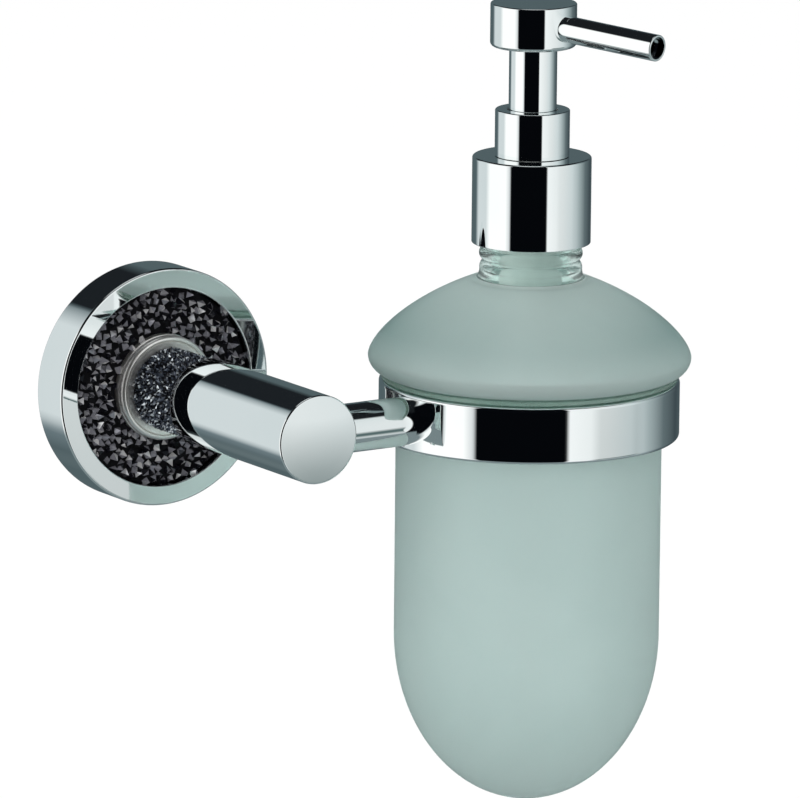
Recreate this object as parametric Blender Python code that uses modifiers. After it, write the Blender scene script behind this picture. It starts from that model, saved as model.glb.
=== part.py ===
"""Wall mounted soap dispenser: a jewelled wall rosette, a chrome arm with a ring, and a glass bottle with a pump.

Metres, +Z up. The wall is the plane Y = 0 and the dispenser stands out along -Y. The origin is the
centre of the wall plate's back face, on the axis of the stub arm.
"""
import math

import bmesh
import bpy
from mathutils import Vector

# Fits
GAP = 0.0003
SLIDE_GAP = 0.0004
CUT_PAST = 0.001
WELD = 0.00001
FINE_EDGE = 0.0003
SOFT_EDGE = 0.0005
ROSETTE_EDGE = 0.0007
GRUB_HOLE_DEPTH = 0.004
GASKET_INSET = 0.0004
GUIDE_EDGE = 0.0004
PISTON_GROOVE = 0.0007
SCREW_RUNOUT = 0.0015
NOZZLE_EDGE = 0.0002
ROUND = 28
FINE = 32

# Wall fixing
PLATE_R = 0.0284
PLATE_THICK = 0.005
PLATE_BACK_SKIN = 0.002
BOSS_R = 0.009
BOSS_REACH = 0.0031
SCREW_SPACING = 0.036
SCREW_HEAD_R = 0.0040
SCREW_HEAD_THICK = 0.0022
SCREW_SHANK_R = 0.0020

# Rosette
ROSETTE_R = 0.0315
ROSETTE_DEPTH = 0.0124
ROSETTE_WALL = 0.0012
ROSETTE_LIP = 0.0052
TRAY_DEPTH = 0.0028
STONE_HEIGHT = 0.0024
COLLAR_R = 0.0139
COLLAR_LENGTH = 0.0040
COLLAR_GROOVE = 0.0006

# Arm
STUD_R = 0.0040
STUD_GRIP = 0.016
SPACER_WALL = 0.0037
SLEEVE_WALL = 0.0029
BARREL_START = 0.0332
BARREL_LENGTH = 0.0546
BARREL_R = 0.01155
BARREL_EDGE = 0.0008
SIDE_ARM_R = 0.00635
SIDE_ARM_SETBACK = 0.0086
SIDE_ARM_GRIP = 0.0030
GRUB_R = 0.0016
GRUB_LENGTH = 0.0034

# Ring
RING_X = 0.06965
RING_R = 0.0390
RING_WALL = 0.0025
RING_HEIGHT = 0.0150
RING_EDGE = 0.0009
LINER_WALL = 0.0013
LINER_FLANGE = 0.0024
LINER_FLANGE_THICK = 0.0012
RING_SCREW_R = 0.0017
RING_SCREW_HEAD_R = 0.0032
RING_SCREW_HEAD_THICK = 0.0016
RING_SCREW_LENGTH = 0.0100

# Bottle
GLASS_WALL = 0.0022
BODY_LENGTH = 0.0690
BOTTOM_DEPTH = 0.0442
DOME_EDGE_R = 0.0041
DOME_OVERHANG = 0.00735
DOME_RISE = 0.0239
DOME_POWER = 1.494
NECK_R = 0.01235
NECK_WALL = 0.00215
NECK_BEAD = 0.00095
NECK_BEAD_RISE = 0.0232
NECK_BEAD_HEIGHT = 0.0034
NECK_FOOT = 0.0004
TOP_BEAD = 0.00105
TOP_BEAD_RISE = 0.0270
TOP_BEAD_HEIGHT = 0.0030
NECK_RISE = 0.0477
THREAD_R = 0.0010
THREAD_HEIGHT = 0.00105
THREAD_PITCH = 0.0042
THREAD_TURNS = 2.6
THREAD_START = 0.0311

# Screw collar
INSERT_WALL = 0.00090
CAP_HEIGHT = 0.0226
CAP_SHELL = 0.0005
CAP_EDGE = 0.0006
CAP_TURN_GAP = 0.0005
INSERT_SETBACK = 0.0010
INSERT_LIP = 0.0007
THREAD_CLEARANCE = 0.0003

# Pump
GASKET_THICK = 0.0012
FLANGE_THICK = 0.0011
FLANGE_INSET = 0.0008
BARREL_BORE_R = 0.0069
PUMP_WALL = 0.0012
PUMP_NECK_WALL = 0.0008
PUMP_DROP = 0.0415
TAIL_R = 0.0044
TAIL_LENGTH = 0.0190
BALL_R = 0.0024
BALL_LIFT = 0.0015
BALL_WAY = 0.0077
SEAT_R = 0.0017
SOCKET_DEPTH = 0.0090
TUBE_R = 0.0028
TUBE_BORE_R = 0.0019
TUBE_END_GAP = 0.0042
GUIDE_WALL = 0.00166
GUIDE_HEIGHT = 0.0119
GUIDE_ROOF = 0.0012

# Plunger and head
STEM_R = 0.0034
STEM_BORE_R = 0.0018
STEM_GAP = 0.0164
STROKE = 0.0140
TRIM_TUBE_R = 0.0062
TRIM_TUBE_TUCK = 0.0110
PISTON_TRAVEL_GAP = 0.0052
PISTON_HEIGHT = 0.0090
PISTON_GAP = 0.0003
SPRING_WIRE_R = 0.0004
SPRING_R = 0.0052
SPRING_TURNS = 5
HEAD_R = 0.01115
HEAD_HEIGHT = 0.0113
HEAD_TOP_EDGE = 0.0003
HEAD_BOTTOM_EDGE = 0.0010
NOZZLE_R = 0.00344
NOZZLE_BORE_R = 0.0022
NOZZLE_MOUTH_R = 0.0027
NOZZLE_MOUTH_DEPTH = 0.0024
NOZZLE_REACH = 0.0404
NOZZLE_ROOT = 0.0060
NOZZLE_RISE = 0.0062
NOZZLE_TURN = math.radians(17.85)
NOZZLE_DROOP = math.radians(3.1)

# Places that follow from the sizes above
FRONT = Vector((0.0, -1.0, 0.0))
RIGHT = Vector((1.0, 0.0, 0.0))
UP = Vector((0.0, 0.0, 1.0))
BARREL_END = BARREL_START + BARREL_LENGTH
ARM_Y = -(BARREL_END - SIDE_ARM_SETBACK)
AXIS = Vector((RING_X, ARM_Y, 0.0))
RING_TOP = RING_HEIGHT / 2
LINER_TOP = RING_TOP + GAP + LINER_FLANGE_THICK
LINER_R = RING_R - RING_WALL - GAP
LINER_BORE_R = LINER_R - LINER_WALL
BODY_R = LINER_BORE_R - SLIDE_GAP
DOME_BASE = LINER_TOP + GAP
DOME_R = BODY_R + DOME_OVERHANG
DOME_MIDDLE = DOME_BASE + DOME_EDGE_R
BOTTOM_MIDDLE = DOME_BASE - BODY_LENGTH - GAP
NECK_TOP = DOME_MIDDLE + NECK_RISE
BEAD_Z = DOME_MIDDLE + NECK_BEAD_RISE
TOP_BEAD_Z = DOME_MIDDLE + TOP_BEAD_RISE
NECK_BORE_R = NECK_R - NECK_WALL
NECK_BEAD_R = NECK_R + NECK_BEAD
GASKET_BASE = NECK_TOP + GAP
FLANGE_BASE = GASKET_BASE + GASKET_THICK + GAP
FLANGE_TOP = FLANGE_BASE + FLANGE_THICK
INSERT_TOP = FLANGE_TOP + GAP + INSERT_LIP
CAP_TOP = INSERT_TOP + GAP + CAP_SHELL
CAP_BASE = CAP_TOP - CAP_HEIGHT
INSERT_BORE_R = NECK_R + THREAD_HEIGHT + THREAD_CLEARANCE
INSERT_R = INSERT_BORE_R + INSERT_WALL
CAP_R = INSERT_R + GAP + CAP_SHELL
FLANGE_R = INSERT_BORE_R - FLANGE_INSET
PUMP_NECK_R = BARREL_BORE_R + PUMP_NECK_WALL
CAP_BORE_R = PUMP_NECK_R + CAP_TURN_GAP
GUIDE_BASE = CAP_TOP + GAP
GUIDE_R = PUMP_NECK_R + GAP + GUIDE_WALL
GUIDE_TOP = GUIDE_BASE + GUIDE_HEIGHT
BARREL_R_PUMP = BARREL_BORE_R + PUMP_WALL
BARREL_FLOOR = FLANGE_BASE - PUMP_DROP
TAIL_END = BARREL_FLOOR - TAIL_LENGTH
SEAT_Z = BARREL_FLOOR - BALL_WAY
BALL_Z = SEAT_Z + math.sqrt(BALL_R**2 - SEAT_R**2) + GAP
TUBE_TOP = TAIL_END + SOCKET_DEPTH - GAP
TUBE_END = BOTTOM_MIDDLE - BOTTOM_DEPTH + GLASS_WALL + TUBE_END_GAP
HEAD_BASE = GUIDE_TOP + STEM_GAP
HEAD_TOP = HEAD_BASE + HEAD_HEIGHT
NOZZLE_Z = HEAD_BASE + NOZZLE_RISE
PISTON_BASE = BARREL_FLOOR + STROKE + PISTON_TRAVEL_GAP
STEM_TOP = NOZZLE_Z - NOZZLE_R - SLIDE_GAP


def clear_scene():
    for item in list(bpy.data.objects):
        bpy.data.objects.remove(item, do_unlink=True)


def collection(name):
    made = bpy.data.collections.new(name)
    bpy.context.scene.collection.children.link(made)
    return made


clear_scene()
PARTS = collection("wall_mounted_soap_dispenser")
CUTTERS = collection("cutters")
CUTTERS.hide_render = True


def material(name, colour, roughness, metallic=0.0, transmission=0.0):
    made = bpy.data.materials.new(name)
    made.use_nodes = True
    shader = made.node_tree.nodes["Principled BSDF"]
    shader.inputs["Base Color"].default_value = (*colour, 1.0)
    shader.inputs["Roughness"].default_value = roughness
    shader.inputs["Metallic"].default_value = metallic
    shader.inputs["Transmission Weight"].default_value = transmission
    made.diffuse_color = (*colour, 1.0)
    return made


CHROME = material("polished_chrome", (0.82, 0.85, 0.85), 0.04, 1.0)
NICKEL = material("warm_nickel", (0.78, 0.75, 0.70), 0.18, 1.0)
STEEL = material("zinc_steel", (0.55, 0.56, 0.56), 0.35, 1.0)
STONES = material("black_crystal", (0.012, 0.013, 0.015), 0.08)
GLASS = material("frosted_glass", (0.66, 0.78, 0.74), 0.45, 0.0, 0.9)
PLASTIC = material("white_polypropylene", (0.80, 0.82, 0.81), 0.45)
CLEAR = material("clear_green_plastic", (0.62, 0.78, 0.72), 0.25, 0.0, 0.7)
RUBBER = material("grey_rubber", (0.20, 0.21, 0.21), 0.70)
BEARING = material("stainless_ball", (0.60, 0.60, 0.60), 0.12, 1.0)


def aim(direction):
    return Vector(direction).to_track_quat("Z", "Y").to_euler()


def eased(outline, steps=2):
    """The outline with each (radius, height, fillet) corner turned into an arc."""
    points = []
    count = len(outline)
    for index, corner in enumerate(outline):
        here = Vector(corner[:2])
        if len(corner) < 3:
            points.append((here.x, here.y))
            continue
        before = (Vector(outline[index - 1][:2]) - here).normalized()
        after = (Vector(outline[(index + 1) % count][:2]) - here).normalized()
        half = before.angle(after) / 2
        middle = here + (before + after).normalized() * corner[2] / math.sin(half)
        first = here + before * corner[2] / math.tan(half) - middle
        last = here + after * corner[2] / math.tan(half) - middle
        sweep = first.angle_signed(last)
        for step in range(steps + 1):
            turn = -sweep * step / steps
            cosine = math.cos(turn)
            sine = math.sin(turn)
            points.append(
                (
                    middle.x + first.x * cosine - first.y * sine,
                    middle.y + first.x * sine + first.y * cosine,
                )
            )
    return points


def turned(name, outline, look, at=(0, 0, 0), direction=UP, steps=ROUND, group=PARTS):
    """A solid of revolution about the piece's own Z, from an outline that runs down its outer side."""
    on_axis = outline[0][0] == 0.0
    count = len(outline)
    mesh = bpy.data.meshes.new(name)
    mesh.from_pydata(
        [(radius, 0.0, height) for radius, height in outline],
        [(i, (i + 1) % count) for i in range(count - on_axis)],
        [],
    )
    piece = bpy.data.objects.new(name, mesh)
    group.objects.link(piece)
    piece.location = at
    piece.rotation_euler = aim(direction)
    screw = piece.modifiers.new("turn", "SCREW")
    screw.axis = "Z"
    screw.steps = steps
    screw.render_steps = steps
    screw.use_merge_vertices = True
    screw.merge_threshold = WELD
    screw.use_smooth_shade = True
    if look:
        mesh.materials.append(look)
    return piece


def tube(low, high, bore, radius, edge=0.0):
    """The outline of a straight sleeve, or of a plain bar where the bore is 0."""
    if bore == 0.0:
        outline = [(0.0, high), (radius, high, edge), (radius, low, edge), (0.0, low)]
    else:
        outline = [(bore, high), (radius, high, edge), (radius, low, edge), (bore, low)]
    return eased(outline) if edge else [corner[:2] for corner in outline]


def cut(piece, name, outline, at, direction=UP, steps=24):
    """Takes a turned cutter out of the piece."""
    tool = turned(name, outline, None, at, direction, steps, CUTTERS)
    tool.hide_render = True
    tool.display_type = "WIRE"
    boolean = piece.modifiers.new(name, "BOOLEAN")
    boolean.operation = "DIFFERENCE"
    boolean.solver = "EXACT"
    boolean.object = tool
    return tool


def wire(name, points, radius, look, group, sides=1):
    """A round bar along the points, with closed ends, as one welded mesh."""
    curve = bpy.data.curves.new(name, "CURVE")
    curve.dimensions = "3D"
    spline = curve.splines.new("POLY")
    spline.points.add(len(points) - 1)
    for slot, point in zip(spline.points, points):
        slot.co = (*point, 1.0)
    curve.bevel_depth = radius
    curve.bevel_resolution = sides
    curve.use_fill_caps = True
    guide = bpy.data.objects.new(name + "_path", curve)
    group.objects.link(guide)
    bpy.context.view_layer.update()
    graph = bpy.context.evaluated_depsgraph_get()
    mesh = bpy.data.meshes.new_from_object(guide.evaluated_get(graph))
    mesh.name = name
    place = guide.matrix_world.copy()
    bpy.data.objects.remove(guide)
    built = bmesh.new()
    built.from_mesh(mesh)
    bmesh.ops.remove_doubles(built, verts=built.verts, dist=WELD)
    bmesh.ops.recalc_face_normals(built, faces=built.faces)
    built.to_mesh(mesh)
    built.free()
    piece = bpy.data.objects.new(name, mesh)
    group.objects.link(piece)
    piece.matrix_world = place
    if look:
        mesh.materials.clear()
        mesh.materials.append(look)
    return piece


def empty(name, at, parent=None):
    made = bpy.data.objects.new(name, None)
    PARTS.objects.link(made)
    made.location = Vector(at) - (Vector(parent["place"]) if parent else Vector())
    made.parent = parent
    made["place"] = tuple(at)
    return made


def carry(parent, pieces):
    """Parents the pieces to an empty that stands on their joint's axis, and leaves them where they are."""
    for piece in pieces:
        piece.location = piece.location - Vector(parent["place"])
        piece.parent = parent


def wall_plate():
    """The round fixing plate, with a boss on its front and two countersunk screw holes."""
    front = PLATE_THICK
    outline = [
        (0.0, front + BOSS_REACH),
        (BOSS_R, front + BOSS_REACH),
        (BOSS_R, front),
        (PLATE_R, front),
        (PLATE_R, 0.0),
        (0.0, 0.0),
    ]
    plate = turned("wall_plate", outline, STEEL, direction=FRONT)
    stud_hole = [
        (0.0, front + BOSS_REACH + CUT_PAST),
        (STUD_R + GAP, front + BOSS_REACH + CUT_PAST),
        (STUD_R + GAP, PLATE_BACK_SKIN),
        (0.0, PLATE_BACK_SKIN),
    ]
    cut(plate, "stud_hole", stud_hole, (0, 0, 0), FRONT)
    seat = front - SCREW_HEAD_THICK - GAP
    pocket = [
        (0.0, front + CUT_PAST),
        (SCREW_HEAD_R + GAP, front + CUT_PAST),
        (SCREW_HEAD_R + GAP, seat),
        (SCREW_SHANK_R + GAP, seat),
        (SCREW_SHANK_R + GAP, -CUT_PAST),
        (0.0, -CUT_PAST),
    ]
    pieces = [plate]
    for side, word in ((-1, "left"), (1, "right")):
        at = (side * SCREW_SPACING / 2, 0.0, 0.0)
        cut(plate, "screw_hole_" + word, pocket, at, FRONT)
        pieces.append(wall_screw("wall_screw_" + word, at, seat + GAP))
    return pieces


def wall_screw(name, at, seat):
    """A pan head screw with a cross recess; the length inside the wall is left off at the wall's face."""
    outline = [
        (0.0, seat + SCREW_HEAD_THICK),
        (SCREW_HEAD_R * 0.7, seat + SCREW_HEAD_THICK),
        (SCREW_HEAD_R, seat + SCREW_HEAD_THICK * 0.55),
        (SCREW_HEAD_R, seat),
        (SCREW_SHANK_R, seat),
        (SCREW_SHANK_R, 0.0),
        (0.0, 0.0),
    ]
    return turned(name, outline, STEEL, at, FRONT, 24)


def rosette():
    """The chrome cup over the plate: a flat front lip around a sunk tray that holds the stones."""
    front = ROSETTE_DEPTH
    inner = ROSETTE_R - ROSETTE_LIP
    tray = front - TRAY_DEPTH
    bore = STUD_R + GAP + SPACER_WALL + GAP
    outline = eased(
        [
            (bore, tray),
            (inner, tray),
            (inner, front, FINE_EDGE),
            (ROSETTE_R, front, ROSETTE_EDGE),
            (ROSETTE_R, GAP),
            (ROSETTE_R - ROSETTE_WALL, GAP),
            (ROSETTE_R - ROSETTE_WALL, front - ROSETTE_WALL),
            (inner + ROSETTE_WALL, front - ROSETTE_WALL),
            (inner + ROSETTE_WALL, tray - ROSETTE_WALL),
            (bore, tray - ROSETTE_WALL),
        ]
    )
    cup = turned("rosette_cup", outline, CHROME, direction=FRONT, steps=FINE)
    stones = tube(tray + GAP, tray + GAP + STONE_HEIGHT, COLLAR_R + GAP, inner - GAP)
    bed = turned("crystal_disc", stones, STONES, direction=FRONT, steps=FINE)
    low = tray + GAP
    high = low + COLLAR_LENGTH
    middle = (low + high) / 2
    collar = eased(
        [
            (bore, high),
            (COLLAR_R, high, SOFT_EDGE),
            (COLLAR_R, middle + COLLAR_GROOVE),
            (COLLAR_R - COLLAR_GROOVE, middle),
            (COLLAR_R, middle - COLLAR_GROOVE),
            (COLLAR_R, low),
            (bore, low),
        ]
    )
    ring = turned("collar_ring", collar, NICKEL, direction=FRONT)
    grub_y = -PLATE_THICK * 0.6
    top = -(PLATE_R + GAP)
    grub = hex_grub("rosette_grub", (0.0, grub_y, top), -UP, ROSETTE_R - PLATE_R - 2 * GAP)
    hole = tube(-CUT_PAST, GRUB_HOLE_DEPTH, 0.0, GRUB_R + GAP)
    cut(cup, "rosette_grub_hole", hole, (0.0, grub_y, -ROSETTE_R + 0.002), -UP, 16)
    return [cup, bed, ring, grub]


def hex_grub(name, at, direction, length=GRUB_LENGTH):
    """A headless set screw with a socket in its outer end."""
    grub = turned(name, tube(0.0, length, 0.0, GRUB_R), STEEL, at, direction, 16)
    socket = tube(length * 0.5, length + CUT_PAST, 0.0, GRUB_R * 0.5)
    cut(grub, name + "_socket", socket, at, direction, 6)
    return grub


def post():
    """The threaded stud, the spacer over it, and the jewelled sleeve over the spacer."""
    root = PLATE_THICK + BOSS_REACH + GAP
    rear = BARREL_START - GAP
    stud = tube(PLATE_BACK_SKIN + GAP, BARREL_START + STUD_GRIP - GAP, 0.0, STUD_R)
    inner = STUD_R + GAP
    outer = inner + SPACER_WALL
    sleeve_start = ROSETTE_DEPTH - TRAY_DEPTH + GAP + COLLAR_LENGTH + GAP
    spacer = tube(root, rear, inner, outer)
    sleeve = tube(sleeve_start, rear, outer + GAP, outer + GAP + SLEEVE_WALL)
    return [
        turned("arm_stud", stud, STEEL, direction=FRONT, steps=24),
        turned("spacer_tube", spacer, STEEL, direction=FRONT, steps=32),
        turned("crystal_sleeve", sleeve, STONES, direction=FRONT),
    ]


def arm():
    """The stub arm, and the side arm that is pinned across its front end and coped to the ring."""
    edge = BARREL_EDGE
    outline = tube(BARREL_START, BARREL_END, 0.0, BARREL_R, edge)
    barrel = turned("arm_barrel", outline, CHROME, direction=FRONT, steps=FINE)
    stud_hole = tube(BARREL_START - CUT_PAST, BARREL_START + STUD_GRIP, 0.0, STUD_R + GAP)
    cut(barrel, "barrel_stud_hole", stud_hole, (0, 0, 0), FRONT)
    side_hole = tube(-SIDE_ARM_GRIP - GAP, BARREL_R + 0.002, 0.0, SIDE_ARM_R + GAP)
    cut(barrel, "side_arm_hole", side_hole, (0.0, ARM_Y, 0.0), RIGHT, 40)
    grub_x = BARREL_R * 0.35
    grub_hole = tube(SIDE_ARM_R - SOFT_EDGE, BARREL_R + CUT_PAST, 0.0, GRUB_R + GAP)
    cut(barrel, "side_grub_hole", grub_hole, (grub_x, ARM_Y, 0.0), -UP, 16)
    grub = hex_grub("side_arm_grub", (grub_x, ARM_Y, -SIDE_ARM_R - GAP), -UP)
    reach = RING_X - RING_R + RING_R * 0.1
    side = turned(
        "side_arm", tube(-SIDE_ARM_GRIP, reach, 0.0, SIDE_ARM_R), CHROME, (0.0, ARM_Y, 0.0), RIGHT, 40
    )
    cope = tube(-RING_HEIGHT, RING_HEIGHT, 0.0, RING_R + GAP)
    cut(side, "side_arm_cope", cope, AXIS, UP, FINE)
    start = RING_X - RING_R + RING_WALL
    tapped = tube(0.0, RING_SCREW_LENGTH + SCREW_RUNOUT, 0.0, RING_SCREW_R + GAP)
    cut(side, "side_arm_tapping", tapped, (start, ARM_Y, 0.0), -RIGHT, 16)
    return [barrel, side, grub]


def ring():
    """The bottle ring, its plastic liner, and the countersunk screw that holds the ring to the side arm."""
    inner = RING_R - RING_WALL
    outline = eased(
        [
            (inner, RING_TOP, RING_EDGE * 0.4),
            (RING_R, RING_TOP, RING_EDGE),
            (RING_R, -RING_TOP, RING_EDGE),
            (inner, -RING_TOP, RING_EDGE * 0.4),
        ]
    )
    band = turned("bottle_ring", outline, CHROME, AXIS, UP, FINE)
    recess = FINE_EDGE
    screw = [
        (0.0, -recess),
        (RING_SCREW_HEAD_R, -recess),
        (RING_SCREW_R, -recess - RING_SCREW_HEAD_THICK),
        (RING_SCREW_R, -recess - RING_SCREW_LENGTH),
        (0.0, -recess - RING_SCREW_LENGTH),
    ]
    bevelled = [
        (0.0, CUT_PAST),
        (RING_SCREW_HEAD_R + GAP, CUT_PAST),
        (RING_SCREW_HEAD_R + GAP, -recess),
        (RING_SCREW_R + GAP, -recess - RING_SCREW_HEAD_THICK),
        (RING_SCREW_R + GAP, -RING_WALL - CUT_PAST),
        (0.0, -RING_WALL - CUT_PAST),
    ]
    head = (RING_X - inner, ARM_Y, 0.0)
    cut(band, "ring_countersink", bevelled, head, RIGHT, 24)
    bolt = turned("ring_screw", screw, STEEL, head, RIGHT, 24)
    skirt = [
        (LINER_BORE_R, LINER_TOP),
        (LINER_R + LINER_FLANGE, LINER_TOP),
        (LINER_R + LINER_FLANGE, LINER_TOP - LINER_FLANGE_THICK),
        (LINER_R, LINER_TOP - LINER_FLANGE_THICK),
        (LINER_R, -RING_TOP + GAP),
        (LINER_BORE_R, -RING_TOP + GAP),
    ]
    liner = turned("ring_liner", skirt, CLEAR, AXIS, UP, FINE)
    return [band, liner, bolt]


def dome_height(radius):
    """How far the dome stands above its widest level at this radius."""
    share = (1.0 - (radius / DOME_R) ** DOME_POWER) ** (1.0 / DOME_POWER)
    return DOME_RISE * share


def bead(middle, height, radius):
    """Outline points of a round bead on the neck, from its top to its foot."""
    points = [(NECK_R, middle + height / 2)]
    for step in range(1, 5):
        turn = math.pi * step / 5
        swell = (radius - NECK_R) * math.sin(turn)
        points.append((NECK_R + swell, middle + height / 2 * math.cos(turn)))
    return points


def glass_outside():
    """The outer outline from the neck's rim down over the dome and the body to the bottom's centre."""
    bead_low = BEAD_Z - NECK_BEAD_HEIGHT / 2
    points = [(NECK_R, NECK_TOP)]
    points += bead(TOP_BEAD_Z, TOP_BEAD_HEIGHT, NECK_R + TOP_BEAD)
    points.append((NECK_R, TOP_BEAD_Z - TOP_BEAD_HEIGHT / 2))
    points += bead(BEAD_Z, NECK_BEAD_HEIGHT, NECK_BEAD_R)
    foot = NECK_R + NECK_FOOT
    points.append((foot, min(bead_low, DOME_MIDDLE + dome_height(foot) + GAP)))
    for step in range(1, 8):
        radius = foot + (DOME_R - foot) * math.sin(math.pi / 2 * step / 7.6)
        points.append((radius, DOME_MIDDLE + dome_height(radius)))
    for step in range(4):
        turn = math.pi / 2 * step / 3
        radius = DOME_R - DOME_EDGE_R * (1.0 - math.cos(turn))
        points.append((radius, DOME_MIDDLE - DOME_EDGE_R * math.sin(turn)))
    points.append((BODY_R, DOME_BASE))
    for step in range(7):
        turn = math.pi / 2 * step / 7
        points.append((BODY_R * math.cos(turn), BOTTOM_MIDDLE - BOTTOM_DEPTH * math.sin(turn)))
    points.append((0.0, BOTTOM_MIDDLE - BOTTOM_DEPTH))
    return points


def glass_inside():
    """The inner outline, from the bottom's centre up to the neck's rim."""
    inner = BODY_R - GLASS_WALL
    depth = BOTTOM_DEPTH - GLASS_WALL
    points = [(0.0, BOTTOM_MIDDLE - depth)]
    for step in range(5):
        turn = math.pi / 2 * (4 - step) / 5
        points.append((inner * math.cos(turn), BOTTOM_MIDDLE - depth * math.sin(turn)))
    points.append((inner, DOME_BASE))
    wide = DOME_R - GLASS_WALL
    points.append((wide - DOME_EDGE_R * 0.5, DOME_MIDDLE - DOME_EDGE_R * 0.35))
    for step in range(5):
        radius = NECK_BORE_R + (wide - NECK_BORE_R) * math.sin(math.pi / 2 * (4.7 - step) / 5)
        outer = radius + GLASS_WALL * 0.6
        points.append((radius, DOME_MIDDLE + dome_height(outer) - GLASS_WALL * 0.8))
    points.append((NECK_BORE_R, DOME_MIDDLE + dome_height(NECK_BORE_R) - GLASS_WALL))
    points.append((NECK_BORE_R, NECK_TOP))
    return points


def bottle():
    """The glass bottle, with the moulded thread joined to its neck."""
    glass = turned("glass_bottle", glass_outside() + glass_inside(), GLASS, AXIS, UP, FINE)
    radius = NECK_R + THREAD_HEIGHT - THREAD_R
    start = DOME_MIDDLE + THREAD_START
    points = []
    count = round(THREAD_TURNS * 16)
    for step in range(count + 1):
        turn = 2 * math.pi * step / 16
        height = start + THREAD_PITCH * step / 16
        sink = THREAD_R * 0.6 * (max(0.0, 1.0 - step / 4.0) + max(0.0, 1.0 - (count - step) / 4.0))
        reach = radius - sink
        points.append((reach * math.cos(turn), reach * math.sin(turn), height))
    ridge = wire("neck_thread", points, THREAD_R, None, CUTTERS)
    ridge.location = AXIS
    ridge.hide_render = True
    ridge.display_type = "WIRE"
    union = glass.modifiers.new("thread", "BOOLEAN")
    union.operation = "UNION"
    union.solver = "EXACT"
    union.object = ridge
    return [glass]


def screw_collar():
    """The chrome screw collar and its threaded plastic insert."""
    shell = eased(
        [
            (CAP_BORE_R, CAP_TOP),
            (CAP_R, CAP_TOP, CAP_EDGE),
            (CAP_R, CAP_BASE),
            (CAP_R - CAP_SHELL, CAP_BASE),
            (CAP_R - CAP_SHELL, CAP_TOP - CAP_SHELL),
            (CAP_BORE_R, CAP_TOP - CAP_SHELL),
        ]
    )
    insert = [
        (CAP_BORE_R, INSERT_TOP),
        (INSERT_R, INSERT_TOP),
        (INSERT_R, CAP_BASE + INSERT_SETBACK),
        (INSERT_BORE_R, CAP_BASE + INSERT_SETBACK),
        (INSERT_BORE_R, INSERT_TOP - INSERT_LIP),
        (CAP_BORE_R, INSERT_TOP - INSERT_LIP),
    ]
    return [
        turned("screw_collar", shell, CHROME, AXIS),
        turned("collar_insert", insert, PLASTIC, AXIS),
    ]


def pump():
    """The pump's fixed parts: housing, gasket, dip tube, return spring and the chrome guide collar."""
    neck_top = GUIDE_TOP - GUIDE_ROOF - GAP
    housing = [
        (BARREL_BORE_R, neck_top),
        (PUMP_NECK_R, neck_top),
        (PUMP_NECK_R, FLANGE_TOP),
        (FLANGE_R, FLANGE_TOP),
        (FLANGE_R, FLANGE_BASE),
        (BARREL_R_PUMP, FLANGE_BASE),
        (BARREL_R_PUMP, BARREL_FLOOR - PUMP_WALL),
        (TAIL_R, BARREL_FLOOR - PUMP_WALL * 2),
        (TAIL_R, TAIL_END),
        (TUBE_R + GAP, TAIL_END),
        (TUBE_R + GAP, TAIL_END + SOCKET_DEPTH),
        (SEAT_R, TAIL_END + SOCKET_DEPTH),
        (SEAT_R, SEAT_Z),
        (BALL_R + SLIDE_GAP, SEAT_Z),
        (BALL_R + SLIDE_GAP, BARREL_FLOOR),
        (BARREL_BORE_R, BARREL_FLOOR),
    ]
    gasket = tube(GASKET_BASE, GASKET_BASE + GASKET_THICK, BARREL_R_PUMP + SLIDE_GAP, FLANGE_R - GASKET_INSET)
    guide = eased(
        [
            (TRIM_TUBE_R + SLIDE_GAP, GUIDE_TOP, FINE_EDGE),
            (GUIDE_R, GUIDE_TOP, GUIDE_EDGE),
            (GUIDE_R, GUIDE_BASE, FINE_EDGE),
            (PUMP_NECK_R + GAP, GUIDE_BASE),
            (PUMP_NECK_R + GAP, GUIDE_TOP - GUIDE_ROOF),
            (TRIM_TUBE_R + SLIDE_GAP, GUIDE_TOP - GUIDE_ROOF),
        ]
    )
    low = BARREL_FLOOR + GAP + SPRING_WIRE_R
    high = PISTON_BASE - GAP - SPRING_WIRE_R
    coil = []
    count = SPRING_TURNS * 10
    for step in range(count + 1):
        turn = 2 * math.pi * step / 10
        height = low + (high - low) * step / count
        coil.append((SPRING_R * math.cos(turn), SPRING_R * math.sin(turn), height))
    spring = wire("return_spring", coil, SPRING_WIRE_R, STEEL, PARTS)
    spring.location = AXIS
    return [
        turned("pump_housing", housing, PLASTIC, AXIS, UP, ROUND),
        turned("neck_gasket", gasket, RUBBER, AXIS, UP, ROUND),
        turned("dip_tube", tube(TUBE_END, TUBE_TOP, TUBE_BORE_R, TUBE_R), PLASTIC, AXIS, UP, 24),
        turned("guide_collar", guide, CHROME, AXIS),
        spring,
    ]


def inlet_ball():
    """The check ball on its seat under the pump barrel."""
    mesh = bpy.data.meshes.new("inlet_ball")
    built = bmesh.new()
    bmesh.ops.create_uvsphere(built, u_segments=12, v_segments=8, radius=BALL_R)
    built.to_mesh(mesh)
    built.free()
    mesh.shade_smooth()
    mesh.materials.append(BEARING)
    ball = bpy.data.objects.new("inlet_ball", mesh)
    PARTS.objects.link(ball)
    ball.location = AXIS + UP * BALL_Z
    return [ball]


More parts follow.
